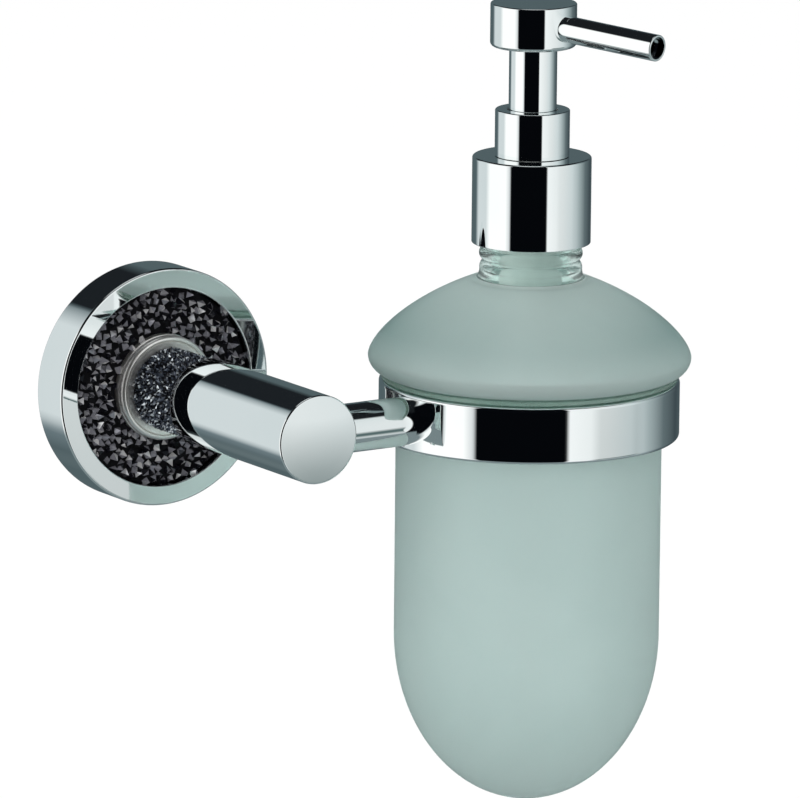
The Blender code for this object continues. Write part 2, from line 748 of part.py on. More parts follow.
def plunger():
    """The stem with its piston, and the chrome trim tube over its visible length."""
    piston_top = PISTON_BASE + PISTON_HEIGHT
    stem = [
        (STEM_BORE_R, STEM_TOP),
        (STEM_R, STEM_TOP),
        (STEM_R, PISTON_BASE),
        (STEM_BORE_R, PISTON_BASE),
    ]
    groove = BARREL_BORE_R - PISTON_GAP - PISTON_GROOVE
    lip = PISTON_HEIGHT * 0.22
    piston = [
        (STEM_R + GAP, piston_top),
        (BARREL_BORE_R - PISTON_GAP, piston_top),
        (BARREL_BORE_R - PISTON_GAP, piston_top - lip),
        (groove, piston_top - lip * 1.5),
        (groove, PISTON_BASE + lip * 1.5),
        (BARREL_BORE_R - PISTON_GAP, PISTON_BASE + lip),
        (BARREL_BORE_R - PISTON_GAP, PISTON_BASE),
        (STEM_R + GAP, PISTON_BASE),
    ]
    trim = tube(GUIDE_TOP - TRIM_TUBE_TUCK, HEAD_BASE - GAP, STEM_R + SLIDE_GAP, TRIM_TUBE_R)
    return [
        turned("stem", stem, PLASTIC, AXIS, UP, 24),
        turned("piston", piston, PLASTIC, AXIS, UP, ROUND),
        turned("trim_tube", trim, CHROME, AXIS),
    ]


def head():
    """The round push button and the spout that leaves it."""
    outline = eased(
        [
            (0.0, HEAD_TOP),
            (HEAD_R, HEAD_TOP, HEAD_TOP_EDGE),
            (HEAD_R, HEAD_BASE, HEAD_BOTTOM_EDGE),
            (0.0, HEAD_BASE),
        ]
    )
    button = turned("pump_head", outline, CHROME, AXIS, UP, FINE)
    flow = Vector(
        (
            math.sin(NOZZLE_TURN) * math.cos(NOZZLE_DROOP),
            -math.cos(NOZZLE_TURN) * math.cos(NOZZLE_DROOP),
            -math.sin(NOZZLE_DROOP),
        )
    )
    socket = tube(HEAD_BASE - CUT_PAST, NOZZLE_Z, 0.0, STEM_R + GAP)
    cut(button, "head_socket", socket, AXIS)
    way = tube(0.0, HEAD_R + 0.002, 0.0, NOZZLE_R + GAP)
    cut(button, "head_spout_hole", way, AXIS + UP * NOZZLE_Z, flow, 32)
    spout = eased(
        [
            (NOZZLE_MOUTH_R, NOZZLE_REACH, NOZZLE_EDGE),
            (NOZZLE_R, NOZZLE_REACH, FINE_EDGE),
            (NOZZLE_R, NOZZLE_ROOT),
            (NOZZLE_BORE_R, NOZZLE_ROOT),
            (NOZZLE_BORE_R, NOZZLE_REACH - NOZZLE_MOUTH_DEPTH),
            (NOZZLE_MOUTH_R, NOZZLE_REACH - NOZZLE_MOUTH_DEPTH),
        ]
    )
    nozzle = turned("nozzle", spout, CHROME, AXIS + UP * NOZZLE_Z, flow, 32)
    return [button, nozzle]


def assemble():
    """Builds every piece and hangs it on the empty that stands for its moving body."""
    base = empty("wall_mount", (0.0, 0.0, 0.0))
    carry(base, wall_plate() + rosette() + post() + arm() + ring())
    bottle_empty = empty("bottle_lift", AXIS, base)
    carry(bottle_empty, bottle())
    pump_empty = empty("pump_lift", AXIS + UP * NECK_TOP, bottle_empty)
    carry(pump_empty, pump())
    carry(empty("collar_turn", AXIS + UP * CAP_BASE, pump_empty), screw_collar())
    carry(empty("ball_lift", AXIS + UP * SEAT_Z, pump_empty), inlet_ball())
    plunger_empty = empty("plunger_press", AXIS + UP * GUIDE_TOP, pump_empty)
    carry(plunger_empty, plunger())
    carry(empty("head_swivel", AXIS + UP * HEAD_BASE, plunger_empty), head())


assemble()
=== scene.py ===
"""Wall mounted soap dispenser: a stone set rosette, a chrome arm and ring, and a frosted pump bottle."""
import math
import random

import bmesh
import bpy
from mathutils import Matrix, Vector


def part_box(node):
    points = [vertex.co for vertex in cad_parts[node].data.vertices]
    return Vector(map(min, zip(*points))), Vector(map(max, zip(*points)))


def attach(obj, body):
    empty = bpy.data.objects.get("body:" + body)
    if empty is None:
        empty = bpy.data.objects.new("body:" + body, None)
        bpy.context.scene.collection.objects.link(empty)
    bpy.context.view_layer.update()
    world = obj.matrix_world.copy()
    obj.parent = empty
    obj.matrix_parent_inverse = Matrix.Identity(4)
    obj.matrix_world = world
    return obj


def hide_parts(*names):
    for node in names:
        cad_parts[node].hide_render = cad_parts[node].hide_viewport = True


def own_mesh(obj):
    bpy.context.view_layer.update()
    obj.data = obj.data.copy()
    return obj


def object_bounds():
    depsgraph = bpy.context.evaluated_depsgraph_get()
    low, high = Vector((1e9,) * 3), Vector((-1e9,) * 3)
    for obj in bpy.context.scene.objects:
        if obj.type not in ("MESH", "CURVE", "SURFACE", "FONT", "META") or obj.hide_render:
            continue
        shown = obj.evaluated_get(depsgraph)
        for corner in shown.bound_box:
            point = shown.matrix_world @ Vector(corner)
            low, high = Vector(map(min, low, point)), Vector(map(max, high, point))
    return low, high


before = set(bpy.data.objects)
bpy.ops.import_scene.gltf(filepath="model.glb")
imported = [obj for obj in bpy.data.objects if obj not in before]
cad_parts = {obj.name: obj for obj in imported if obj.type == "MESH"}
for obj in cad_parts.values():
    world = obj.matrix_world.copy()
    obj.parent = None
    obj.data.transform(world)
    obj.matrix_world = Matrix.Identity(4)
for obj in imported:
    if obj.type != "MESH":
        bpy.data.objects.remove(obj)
cad_low, cad_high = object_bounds()

# Rosette cup. A deep drawn brass cup, plated with bright chrome, that slips over the wall plate.
# Its flat front lip runs round a sunk tray, and a set screw under the rim holds it on the plate.
FRONT = Vector((0.0, -1.0, 0.0))
UP = Vector((0.0, 0.0, 1.0))
RIGHT = Vector((1.0, 0.0, 0.0))
WALL = Vector((0.0, 0.0, 0.0))
cup_low, cup_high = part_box("rosette_cup")
CUP_RADIUS = cup_high[0]
CUP_DEPTH = -cup_low[1]
CUP_BACK = -cup_high[1]
LIP_WIDTH = 0.0052
CUP_SHEET = 0.0012
FLOOR_DROP = 0.0003
tray_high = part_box("crystal_disc")[1]
TRAY_FLOOR = -tray_high[1] - FLOOR_DROP
TRAY_RADIUS = CUP_RADIUS - LIP_WIDTH


def softened(outline, steps=6, guard=0.00004):
    """Turns each (radius, height, fillet) corner into an arc, with a guard point beside each end of it."""
    points = []
    for index, corner in enumerate(outline):
        here = Vector(corner[:2])
        if len(corner) < 3:
            points.append(here)
            continue
        before = (Vector(outline[index - 1][:2]) - here).normalized()
        after = (Vector(outline[(index + 1) % len(outline)][:2]) - here).normalized()
        half = before.angle(after) / 2
        middle = here + (before + after).normalized() * corner[2] / math.sin(half)
        run = corner[2] / math.tan(half)
        first = here + before * run - middle
        last = here + after * run - middle
        points.append(here + before * (run + guard))
        for step in range(steps + 1):
            share = step / steps
            blend = first.lerp(last, share).normalized() if 0 < share < 1 else (first, last)[step == steps]
            points.append(middle + blend.normalized() * corner[2])
        points.append(here + after * (run + guard))
    return points


def turned(name, outline, centre, along, steps=128):
    """Draws a section point by point beside its axis and spins it into a closed, smooth piece."""
    bpy.ops.object.select_all(action="DESELECT")
    bpy.ops.mesh.primitive_plane_add(size=0.002, location=centre)
    piece = bpy.context.object
    piece.name = name
    side = along.orthogonal().normalized()
    bpy.ops.object.mode_set(mode="EDIT")
    bpy.ops.mesh.select_all(action="SELECT")
    bpy.ops.mesh.merge(type="CENTER")
    points = [side * point[0] + along * point[1] for point in outline]
    bpy.ops.transform.translate(value=points[0])
    if outline[0][0] > 0.0:
        points.append(points[0])
    for before, after in zip(points, points[1:]):
        bpy.ops.mesh.extrude_region_move(TRANSFORM_OT_translate={"value": after - before})
    bpy.ops.mesh.select_all(action="SELECT")
    bpy.ops.mesh.remove_doubles(threshold=0.000001)
    bpy.ops.mesh.spin(steps=steps, angle=2 * math.pi, center=centre, axis=along)
    bpy.ops.mesh.select_all(action="SELECT")
    bpy.ops.mesh.remove_doubles(threshold=0.000001)
    bpy.ops.mesh.normals_make_consistent(inside=False)
    bpy.ops.object.mode_set(mode="OBJECT")
    bpy.ops.object.transform_apply(location=True, rotation=True, scale=True)
    bpy.ops.object.shade_smooth_by_angle(angle=math.radians(32))
    return piece


def drilled(piece, radius, start, end, corners=32):
    """Takes a round or many sided hole out of the piece, from start to end."""
    bpy.ops.object.select_all(action="DESELECT")
    way = end - start
    bpy.ops.mesh.primitive_cylinder_add(
        vertices=corners, radius=radius, depth=way.length, location=(start + end) / 2
    )
    bit = bpy.context.object
    bit.rotation_euler = way.to_track_quat("Z", "Y").to_euler()
    bpy.context.view_layer.objects.active = piece
    hole = piece.modifiers.new("hole", "BOOLEAN")
    hole.operation = "DIFFERENCE"
    hole.object = bit
    bpy.ops.object.modifier_apply(modifier=hole.name)
    bpy.data.objects.remove(bit)
    bpy.context.view_layer.objects.active = piece
    piece.select_set(True)
    bpy.ops.object.shade_smooth_by_angle(angle=math.radians(32))
    return piece


def fitted(piece, finish, body, slot, *nodes):
    """Gives the piece its finish, hangs it on its body, and lets it stand for its CAD nodes."""
    piece.data.materials.clear()
    piece.data.materials.append(finish)
    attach(piece, body)
    if nodes:
        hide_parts(*nodes)
    return piece


def handling_marks():
    """Soft smears and fine hairlines left by hands and cloths, as two masks."""
    group = bpy.data.node_groups.new("Handling marks", "ShaderNodeTree")
    interface = group.interface
    interface.new_socket("Smear size", in_out="INPUT", socket_type="NodeSocketFloat")
    interface.new_socket("Hairline size", in_out="INPUT", socket_type="NodeSocketFloat")
    interface.new_socket("Smears", in_out="OUTPUT", socket_type="NodeSocketFloat")
    interface.new_socket("Hairlines", in_out="OUTPUT", socket_type="NodeSocketFloat")
    nodes = group.nodes
    links = group.links
    given = nodes.new("NodeGroupInput")
    out = nodes.new("NodeGroupOutput")
    place = nodes.new("ShaderNodeTexCoord")
    smear = nodes.new("ShaderNodeTexNoise")
    smear.inputs["Detail"].default_value = 3.0
    smear.inputs["Distortion"].default_value = 0.6
    links.new(place.outputs["Object"], smear.inputs["Vector"])
    links.new(given.outputs["Smear size"], smear.inputs["Scale"])
    spread = nodes.new("ShaderNodeMapRange")
    spread.inputs["From Min"].default_value = 0.42
    spread.inputs["From Max"].default_value = 0.72
    links.new(smear.outputs["Fac"], spread.inputs["Value"])
    links.new(spread.outputs["Result"], out.inputs["Smears"])
    stretch = nodes.new("ShaderNodeMapping")
    stretch.inputs["Scale"].default_value = (1.0, 0.12, 1.0)
    stretch.inputs["Rotation"].default_value = (0.3, 0.0, 0.5)
    links.new(place.outputs["Object"], stretch.inputs["Vector"])
    hair = nodes.new("ShaderNodeTexNoise")
    hair.inputs["Detail"].default_value = 1.0
    links.new(stretch.outputs["Vector"], hair.inputs["Vector"])
    links.new(given.outputs["Hairline size"], hair.inputs["Scale"])
    links.new(hair.outputs["Fac"], out.inputs["Hairlines"])
    return group


MARKS = handling_marks()


def marked(material, smear_size, hairline_size):
    marks = material.node_tree.nodes.new("ShaderNodeGroup")
    marks.node_tree = MARKS
    marks.inputs["Smear size"].default_value = smear_size
    marks.inputs["Hairline size"].default_value = hairline_size
    return marks


def shader_of(material):
    material.use_nodes = True
    return material.node_tree.nodes["Principled BSDF"]


def ranged(material, value, low, high):
    """A value from 0 to 1, spread between low and high."""
    spread = material.node_tree.nodes.new("ShaderNodeMapRange")
    spread.inputs["To Min"].default_value = low
    spread.inputs["To Max"].default_value = high
    material.node_tree.links.new(value, spread.inputs["Value"])
    return spread.outputs["Result"]


def tinted(material, value, first, second):
    """Two colours mixed by a value from 0 to 1."""
    mix = material.node_tree.nodes.new("ShaderNodeMix")
    mix.data_type = "RGBA"
    mix.inputs["A"].default_value = (*first, 1.0)
    mix.inputs["B"].default_value = (*second, 1.0)
    material.node_tree.links.new(value, mix.inputs["Factor"])
    return mix.outputs["Result"]


def plated(name, clean, smeared, roughness, smeared_roughness):
    """A bright plated metal, a little duller and less clean where it is handled."""
    metal = bpy.data.materials.new(name)
    shader = shader_of(metal)
    links = metal.node_tree.links
    marks = marked(metal, 38.0, 900.0)
    shader.inputs["Metallic"].default_value = 1.0
    links.new(tinted(metal, marks.outputs["Smears"], clean, smeared), shader.inputs["Base Color"])
    links.new(
        ranged(metal, marks.outputs["Smears"], roughness, smeared_roughness), shader.inputs["Roughness"]
    )
    bump = metal.node_tree.nodes.new("ShaderNodeBump")
    bump.inputs["Strength"].default_value = 0.02
    bump.inputs["Distance"].default_value = 0.00002
    links.new(marks.outputs["Hairlines"], bump.inputs["Height"])
    links.new(bump.outputs["Normal"], shader.inputs["Normal"])
    return metal


chrome = plated("bright chrome", (0.93, 0.95, 0.95), (0.90, 0.93, 0.93), 0.02, 0.05)

SPACER_ROOM = 0.0003
SHEET_BEND = 0.0003
LIP_INNER_EDGE = 0.00035
LIP_OUTER_EDGE = 0.0006
INNER_BEND = 0.0008
TRAY_BEND = 0.0004
SOCKET_HOLE = 0.0019
HOLE_START = 0.026
HOLE_END = 0.034
floor_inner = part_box("spacer_tube")[1][0] + SPACER_ROOM
cup = turned(
    "rosette_cup_shell",
    softened(
        [
            (floor_inner, TRAY_FLOOR),
            (TRAY_RADIUS, TRAY_FLOOR, SHEET_BEND),
            (TRAY_RADIUS, CUP_DEPTH, LIP_INNER_EDGE),
            (CUP_RADIUS, CUP_DEPTH, LIP_OUTER_EDGE),
            (CUP_RADIUS, CUP_BACK, SHEET_BEND),
            (CUP_RADIUS - CUP_SHEET, CUP_BACK, SHEET_BEND),
            (CUP_RADIUS - CUP_SHEET, CUP_DEPTH - CUP_SHEET * 1.4, INNER_BEND),
            (TRAY_RADIUS + CUP_SHEET, CUP_DEPTH - CUP_SHEET, TRAY_BEND),
            (TRAY_RADIUS + CUP_SHEET, TRAY_FLOOR - CUP_SHEET, SHEET_BEND),
            (floor_inner, TRAY_FLOOR - CUP_SHEET),
        ]
    ),
    WALL,
    FRONT,
    192,
)
grub_low, grub_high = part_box("rosette_grub")
grub_middle = (Vector(grub_low) + Vector(grub_high)) / 2
hole_start = Vector((0.0, grub_middle.y, -HOLE_START))
hole_end = Vector((0.0, grub_middle.y, -HOLE_END))
drilled(cup, SOCKET_HOLE, hole_start, hole_end)
fitted(cup, chrome, "wall_mount", "chrome", "rosette_cup")

# Stones of the rosette. Small pointed black stones, set points outwards in dark resin on a thin bed.
# They stand close together at slightly different heights and tilts, so single facets catch the light.
STONE_RADIUS = 0.00128
STONE_POINT = 0.00175
STONE_PITCH = 0.00174
BED_FRONT = TRAY_FLOOR + 0.0008
collar_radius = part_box("collar_ring")[1][0]
random.seed(11)


def scattered(width, length, pitch, tries):
    """Points on a strip that wraps round its width, no two nearer than the pitch."""
    cells = {}
    kept = []
    for _ in range(tries):
        u = random.uniform(0.0, width)
        v = random.uniform(0.0, length)
        column = int(u / pitch)
        row = int(v / pitch)
        columns = max(1, int(width / pitch))
        near = [
            cells.get(((column + i) % columns, row + j)) for i in (-1, 0, 1) for j in (-1, 0, 1)
        ]
        crowded = any(
            spot and math.hypot(min(abs(spot[0] - u), width - abs(spot[0] - u)), spot[1] - v) < pitch
            for spot in near
        )
        if not crowded and (column % columns, row) not in cells:
            cells[(column % columns, row)] = (u, v)
            kept.append((u, v))
    return kept


def cut_stone(name, radius, point, corners):
    """One pointed stone: a short waist below a sharp many sided point."""
    bpy.ops.object.select_all(action="DESELECT")
    bpy.ops.mesh.primitive_cone_add(vertices=corners, radius1=radius, radius2=0.0, depth=point)
    stone = bpy.context.object
    stone.name = name
    bpy.ops.object.mode_set(mode="EDIT")
    bpy.ops.mesh.select_all(action="DESELECT")
    shape = bmesh.from_edit_mesh(stone.data)
    for vertex in shape.verts:
        vertex.select = vertex.co.z < 0.0
    shape.select_flush(True)
    bmesh.update_edit_mesh(stone.data)
    bpy.ops.mesh.extrude_region_move(TRANSFORM_OT_translate={"value": (0.0, 0.0, -point * 0.35)})
    bpy.ops.transform.resize(value=(0.82, 0.82, 1.0))
    bpy.ops.object.mode_set(mode="OBJECT")
    return stone


def set_stones(name, pattern, places):
    """Copies the pattern stone to each place, joins the copies, and gives each facet a tone of its own."""
    copies = []
    for place in places:
        copy = bpy.data.objects.new(name, pattern.data.copy())
        bpy.context.scene.collection.objects.link(copy)
        copy.matrix_world = place
        copies.append(copy)
    bpy.ops.object.select_all(action="DESELECT")
    for copy in copies:
        copy.select_set(True)
    bpy.context.view_layer.objects.active = copies[0]
    bpy.ops.object.join()
    joined = bpy.context.object
    joined.name = name
    bpy.ops.object.transform_apply(location=True, rotation=True, scale=True)
    bpy.data.objects.remove(pattern)
    tones = joined.data.attributes.new("tone", "FLOAT", "FACE")
    for facet in tones.data:
        facet.value = random.random()
    return joined


def leaning(place, outward, lean, size):
    """A placement that points a stone outwards, with a small random lean, turn and size."""
    tip = outward.to_track_quat("Z", "Y").to_matrix().to_4x4()
    forward = Matrix.Rotation(random.gauss(0.0, lean), 4, "X")
    wobble = forward @ Matrix.Rotation(random.gauss(0.0, lean), 4, "Y")
    spin = Matrix.Rotation(random.uniform(0.0, 2 * math.pi), 4, "Z")
    grown = Matrix.Diagonal((size, size, size * random.uniform(0.8, 1.2), 1.0))
    return Matrix.Translation(place) @ tip @ wobble @ spin @ grown


def black_stone(name, low, middle, high):
    """Black cut glass with a mirrored back: each facet takes its own depth of tone, mostly near black."""
    glass = bpy.data.materials.new(name)
    shader = shader_of(glass)
    nodes = glass.node_tree.nodes
    links = glass.node_tree.links
    tone = nodes.new("ShaderNodeAttribute")
    tone.attribute_name = "tone"
    depth = nodes.new("ShaderNodeValToRGB")
    while len(depth.color_ramp.elements) < 5:
        depth.color_ramp.elements.new(0.5)
    steps = ((0.0, low), (0.30, low), (0.38, middle), (0.80, middle), (0.92, high))
    for element, (position, colour) in zip(depth.color_ramp.elements, steps):
        element.position = position
        element.color = (*colour, 1.0)
    links.new(tone.outputs["Fac"], depth.inputs["Fac"])
    marks = marked(glass, 300.0, 1500.0)
    dust = nodes.new("ShaderNodeMix")
    dust.data_type = "RGBA"
    dust.blend_type = "MULTIPLY"
    dust.inputs["Factor"].default_value = 0.12
    links.new(depth.outputs["Color"], dust.inputs["A"])
    links.new(marks.outputs["Smears"], dust.inputs["B"])
    links.new(dust.outputs["Result"], shader.inputs["Base Color"])
    links.new(ranged(glass, tone.outputs["Fac"], 0.16, 0.06), shader.inputs["Roughness"])
    shader.inputs["Metallic"].default_value = 0.55
    shader.inputs["Coat Weight"].default_value = 0.25
    shader.inputs["Coat Roughness"].default_value = 0.05
    return glass


stone_black = black_stone(
    "black cut stone", (0.010, 0.010, 0.015), (0.33, 0.33, 0.37), (0.97, 0.97, 0.98)
)

BED_ROOM = 0.0002
BED_EDGE_ROOM = 0.0003
BED_EDGE = 0.0002
BED_LIFT = 0.0001
bed = turned(
    "stone_bed",
    softened(
        [
            (collar_radius + BED_ROOM, BED_FRONT),
            (TRAY_RADIUS - BED_EDGE_ROOM, BED_FRONT, BED_EDGE),
            (TRAY_RADIUS - BED_EDGE_ROOM, TRAY_FLOOR + BED_LIFT),
            (collar_radius + BED_ROOM, TRAY_FLOOR + BED_LIFT),
        ]
    ),
    WALL,
    FRONT,
    96,
)


def setting_resin():
    """Black resin with a fine grain, almost without gloss."""
    resin = bpy.data.materials.new("black setting resin")
    shader = shader_of(resin)
    links = resin.node_tree.links
    marks = marked(resin, 400.0, 2400.0)
    links.new(
        tinted(resin, marks.outputs["Smears"], (0.003, 0.003, 0.004), (0.007, 0.007, 0.009)),
        shader.inputs["Base Color"],
    )
    links.new(ranged(resin, marks.outputs["Hairlines"], 0.6, 0.9), shader.inputs["Roughness"])
    shader.inputs["Specular IOR Level"].default_value = 0.1
    return resin


resin = setting_resin()
fitted(bed, resin, "wall_mount", "black_crystal")

inner_edge = collar_radius + STONE_RADIUS * 0.1
outer_edge = TRAY_RADIUS - STONE_RADIUS * 0.35
reach = outer_edge
disc_places = []
for across, upward in scattered(2 * reach, 2 * reach, STONE_PITCH, 60000):
    spot = Vector((across - reach, 0.0, upward - reach))
    if inner_edge < spot.length < outer_edge:
        spot.y = -(BED_FRONT + STONE_POINT * random.uniform(0.32, 0.46))
        disc_places.append(leaning(spot, FRONT, 0.24, random.uniform(0.85, 1.12)))
disc_stones = set_stones(
    "rosette_stones", cut_stone("stone", STONE_RADIUS, STONE_POINT, 4), disc_places
)
fitted(disc_stones, stone_black, "wall_mount", "black_crystal", "crystal_disc")

# Collar ring. A turned nickel silver ring with a groove, left warm and bright, that covers the joint
# between the stones and the post. It is pressed over the spacer and lies on the tray's floor.
collar_low, collar_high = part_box("collar_ring")
RING_BACK = -collar_high[1]
RING_FACE = -collar_low[1]
RING_GROOVE = 0.0003
RING_BAND = 0.0013
RING_ROUND = 0.0011
FACE_EDGE = 0.00008
SIDE_GROOVE = 0.0005
GROOVE_SLOPE = 0.0004
GROOVE_FLAT = 0.0002
GROOVE_EDGE = 0.0001
groove = (RING_BACK + RING_FACE) / 2 + GROOVE_FLAT
collar = turned(
    "collar_ring_turned",
    softened(
        [
            (floor_inner, RING_FACE),
            (collar_radius - RING_BAND - RING_GROOVE, RING_FACE, FACE_EDGE),
            (collar_radius - RING_BAND - RING_GROOVE / 2, RING_FACE - RING_GROOVE),
            (collar_radius - RING_BAND, RING_FACE, FACE_EDGE),
            (collar_radius, RING_FACE, RING_ROUND),
            (collar_radius, groove + GROOVE_SLOPE, GROOVE_EDGE),
            (collar_radius - SIDE_GROOVE, groove + GROOVE_FLAT),
            (collar_radius - SIDE_GROOVE, groove - GROOVE_FLAT),
            (collar_radius, groove - GROOVE_SLOPE, GROOVE_EDGE),
            (collar_radius, RING_BACK),
            (floor_inner, RING_BACK),
        ],
        4,
    ),
    WALL,
    FRONT,
)


def turned_metal(name, light, dark, roughness):
    """Bare turned metal, with the tool's fine rings showing round its axis."""
    metal = bpy.data.materials.new(name)
    shader = shader_of(metal)
    nodes = metal.node_tree.nodes
    links = metal.node_tree.links
    place = nodes.new("ShaderNodeTexCoord")
    rings = nodes.new("ShaderNodeTexWave")
    rings.wave_type = "RINGS"
    rings.rings_direction = "Y"
    rings.inputs["Scale"].default_value = 1500.0
    rings.inputs["Distortion"].default_value = 1.5
    rings.inputs["Detail"].default_value = 2.0
    links.new(place.outputs["Object"], rings.inputs["Vector"])
    shader.inputs["Metallic"].default_value = 0.97
    links.new(tinted(metal, rings.outputs["Fac"], light, dark), shader.inputs["Base Color"])
    links.new(ranged(metal, rings.outputs["Fac"], roughness, roughness * 1.5), shader.inputs["Roughness"])
    bump = nodes.new("ShaderNodeBump")
    bump.inputs["Strength"].default_value = 0.12
    bump.inputs["Distance"].default_value = 0.00003
    links.new(rings.outputs["Fac"], bump.inputs["Height"])
    links.new(bump.outputs["Normal"], shader.inputs["Normal"])
    return metal


nickel = turned_metal("bright nickel silver", (1.00, 0.98, 0.95), (0.95, 0.93, 0.90), 0.26)
fitted(collar, nickel, "wall_mount", "nickel", "collar_ring")

# Post. A steel spacer over a threaded stud, wrapped in a sleeve of much finer black stones.
# The sleeve runs from the collar ring to the back of the stub arm.
sleeve_low, sleeve_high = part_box("crystal_sleeve")
SLEEVE_RADIUS = sleeve_high[0]
SLEEVE_BACK = -sleeve_high[1]
SLEEVE_FRONT = -sleeve_low[1]
CHIP_RADIUS = 0.00058
CHIP_POINT = 0.00080
CHIP_PITCH = 0.00076
core_radius = SLEEVE_RADIUS - CHIP_POINT
sleeve = turned(
    "post_sleeve",
    [
        (floor_inner, SLEEVE_FRONT),
        (core_radius, SLEEVE_FRONT),
        (core_radius, SLEEVE_BACK),
        (floor_inner, SLEEVE_BACK),
    ],
    WALL,
    FRONT,
    64,
)
fitted(sleeve, resin, "wall_mount", "black_crystal", "crystal_sleeve")
chip_places = []
run = SLEEVE_FRONT - SLEEVE_BACK
for around, forward in scattered(2 * math.pi * core_radius, run, CHIP_PITCH, 40000):
    turn = around / core_radius
    outward = Vector((math.cos(turn), 0.0, math.sin(turn)))
    spot = outward * (core_radius + CHIP_POINT * random.uniform(0.15, 0.4)) + FRONT * (SLEEVE_BACK + forward)
    chip_places.append(leaning(spot, outward, 0.30, random.uniform(0.8, 1.25)))
chips = set_stones("post_stones", cut_stone("chip", CHIP_RADIUS, CHIP_POINT, 4), chip_places)
chip_black = black_stone(
    "black stone chips", (0.006, 0.008, 0.014), (0.075, 0.09, 0.12), (0.86, 0.93, 0.98)
)
fitted(chips, chip_black, "wall_mount", "black_crystal")

# Stub arm. A solid turned bar, chromed, screwed on the stud, with a very slightly crowned front face.
# A set screw from below clamps the side arm that crosses it near the front.
arm_low, arm_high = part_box("arm_barrel")
ARM_RADIUS = arm_high[2]
ARM_BACK = -arm_high[1]
ARM_FRONT = -arm_low[1]
side_low, side_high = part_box("side_arm")
SIDE_Y = (side_low[1] + side_high[1]) / 2
SIDE_RADIUS = side_high[2]
CROWN = 0.00028
FRONT_EDGE = 0.0005
BACK_EDGE = 0.0008
stub = turned(
    "stub_arm",
    softened(
        [
            (0.0, ARM_FRONT),
            (ARM_RADIUS * 0.35, ARM_FRONT - CROWN * 0.12),
            (ARM_RADIUS * 0.7, ARM_FRONT - CROWN * 0.5),
            (ARM_RADIUS, ARM_FRONT - CROWN, FRONT_EDGE),
            (ARM_RADIUS, ARM_BACK, BACK_EDGE),
            (0.0, ARM_BACK),
        ]
    ),
    WALL,
    FRONT,
    192,
)
pin_low, pin_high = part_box("side_arm_grub")
pin = (Vector(pin_low) + Vector(pin_high)) / 2
pin_start = Vector((pin.x, pin.y, -ARM_RADIUS * 0.6))
pin_end = Vector((pin.x, pin.y, -ARM_RADIUS * 1.2))
drilled(stub, SOCKET_HOLE, pin_start, pin_end)
fitted(stub, chrome, "wall_mount", "chrome", "arm_barrel")

# Side arm. A thinner chromed bar, clamped in the stub arm and shaped at its end to the ring's curve.
ring_low, ring_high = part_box("bottle_ring")
AXIS = Vector(((ring_low[0] + ring_high[0]) / 2, (ring_low[1] + ring_high[1]) / 2, 0.0))
RING_RADIUS = (ring_high[0] - ring_low[0]) / 2
SADDLE_DEPTH = 0.0009
BAR_EDGE = 0.0004
side_end = AXIS.x - RING_RADIUS + SADDLE_DEPTH
side = turned(
    "side_arm_bar",
    softened(
        [
            (0.0, side_end),
            (SIDE_RADIUS, side_end),
            (SIDE_RADIUS, side_low[0], BAR_EDGE),
            (0.0, side_low[0]),
        ]
    ),
    Vector((0.0, SIDE_Y, 0.0)),
    RIGHT,
)
fitted(side, chrome, "wall_mount", "chrome", "side_arm")

# Set screws. Zinc plated headless screws with a hexagon socket, one in the rosette's rim and one in
# the stub arm. Both are turned in from below, where they don't show.
steel = turned_metal("zinc plated steel", (0.62, 0.63, 0.62), (0.48, 0.49, 0.49), 0.32)
SCREW_EDGE = 0.0003
SOCKET_PAST = 0.001
for node, word in (("rosette_grub", "rosette_set_screw"), ("side_arm_grub", "arm_set_screw")):
    low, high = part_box(node)
    middle = Vector(((low[0] + high[0]) / 2, (low[1] + high[1]) / 2, high[2]))
    radius = (high[0] - low[0]) / 2
    length = high[2] - low[2]
    screw = turned(
        word,
        softened([(0.0, length), (radius, length, SCREW_EDGE), (radius, 0.0, SCREW_EDGE), (0.0, 0.0)], 3),
        middle,
        -UP,
        48,
    )
    drilled(screw, radius * 0.55, middle - UP * length * 0.4, middle - UP * (length + SOCKET_PAST), 6)
    fitted(screw, steel, "wall_mount", "zinc_steel", node)

# Bottle ring. A heavy chromed band with rounded rims that carries the bottle, screwed to the side arm.
RING_TOP = ring_high[2]
RING_WALL = 0.0025
RING_EDGE = 0.0010
band = turned(
    "bottle_ring_band",
    softened(
        [
            (RING_RADIUS - RING_WALL, RING_TOP, RING_EDGE * 0.5),
            (RING_RADIUS, RING_TOP, RING_EDGE),
            (RING_RADIUS, ring_low[2], RING_EDGE),
            (RING_RADIUS - RING_WALL, ring_low[2], RING_EDGE * 0.5),
        ]
    ),
    AXIS,
    UP,
    256,
)
fitted(band, chrome, "wall_mount", "chrome", "bottle_ring")

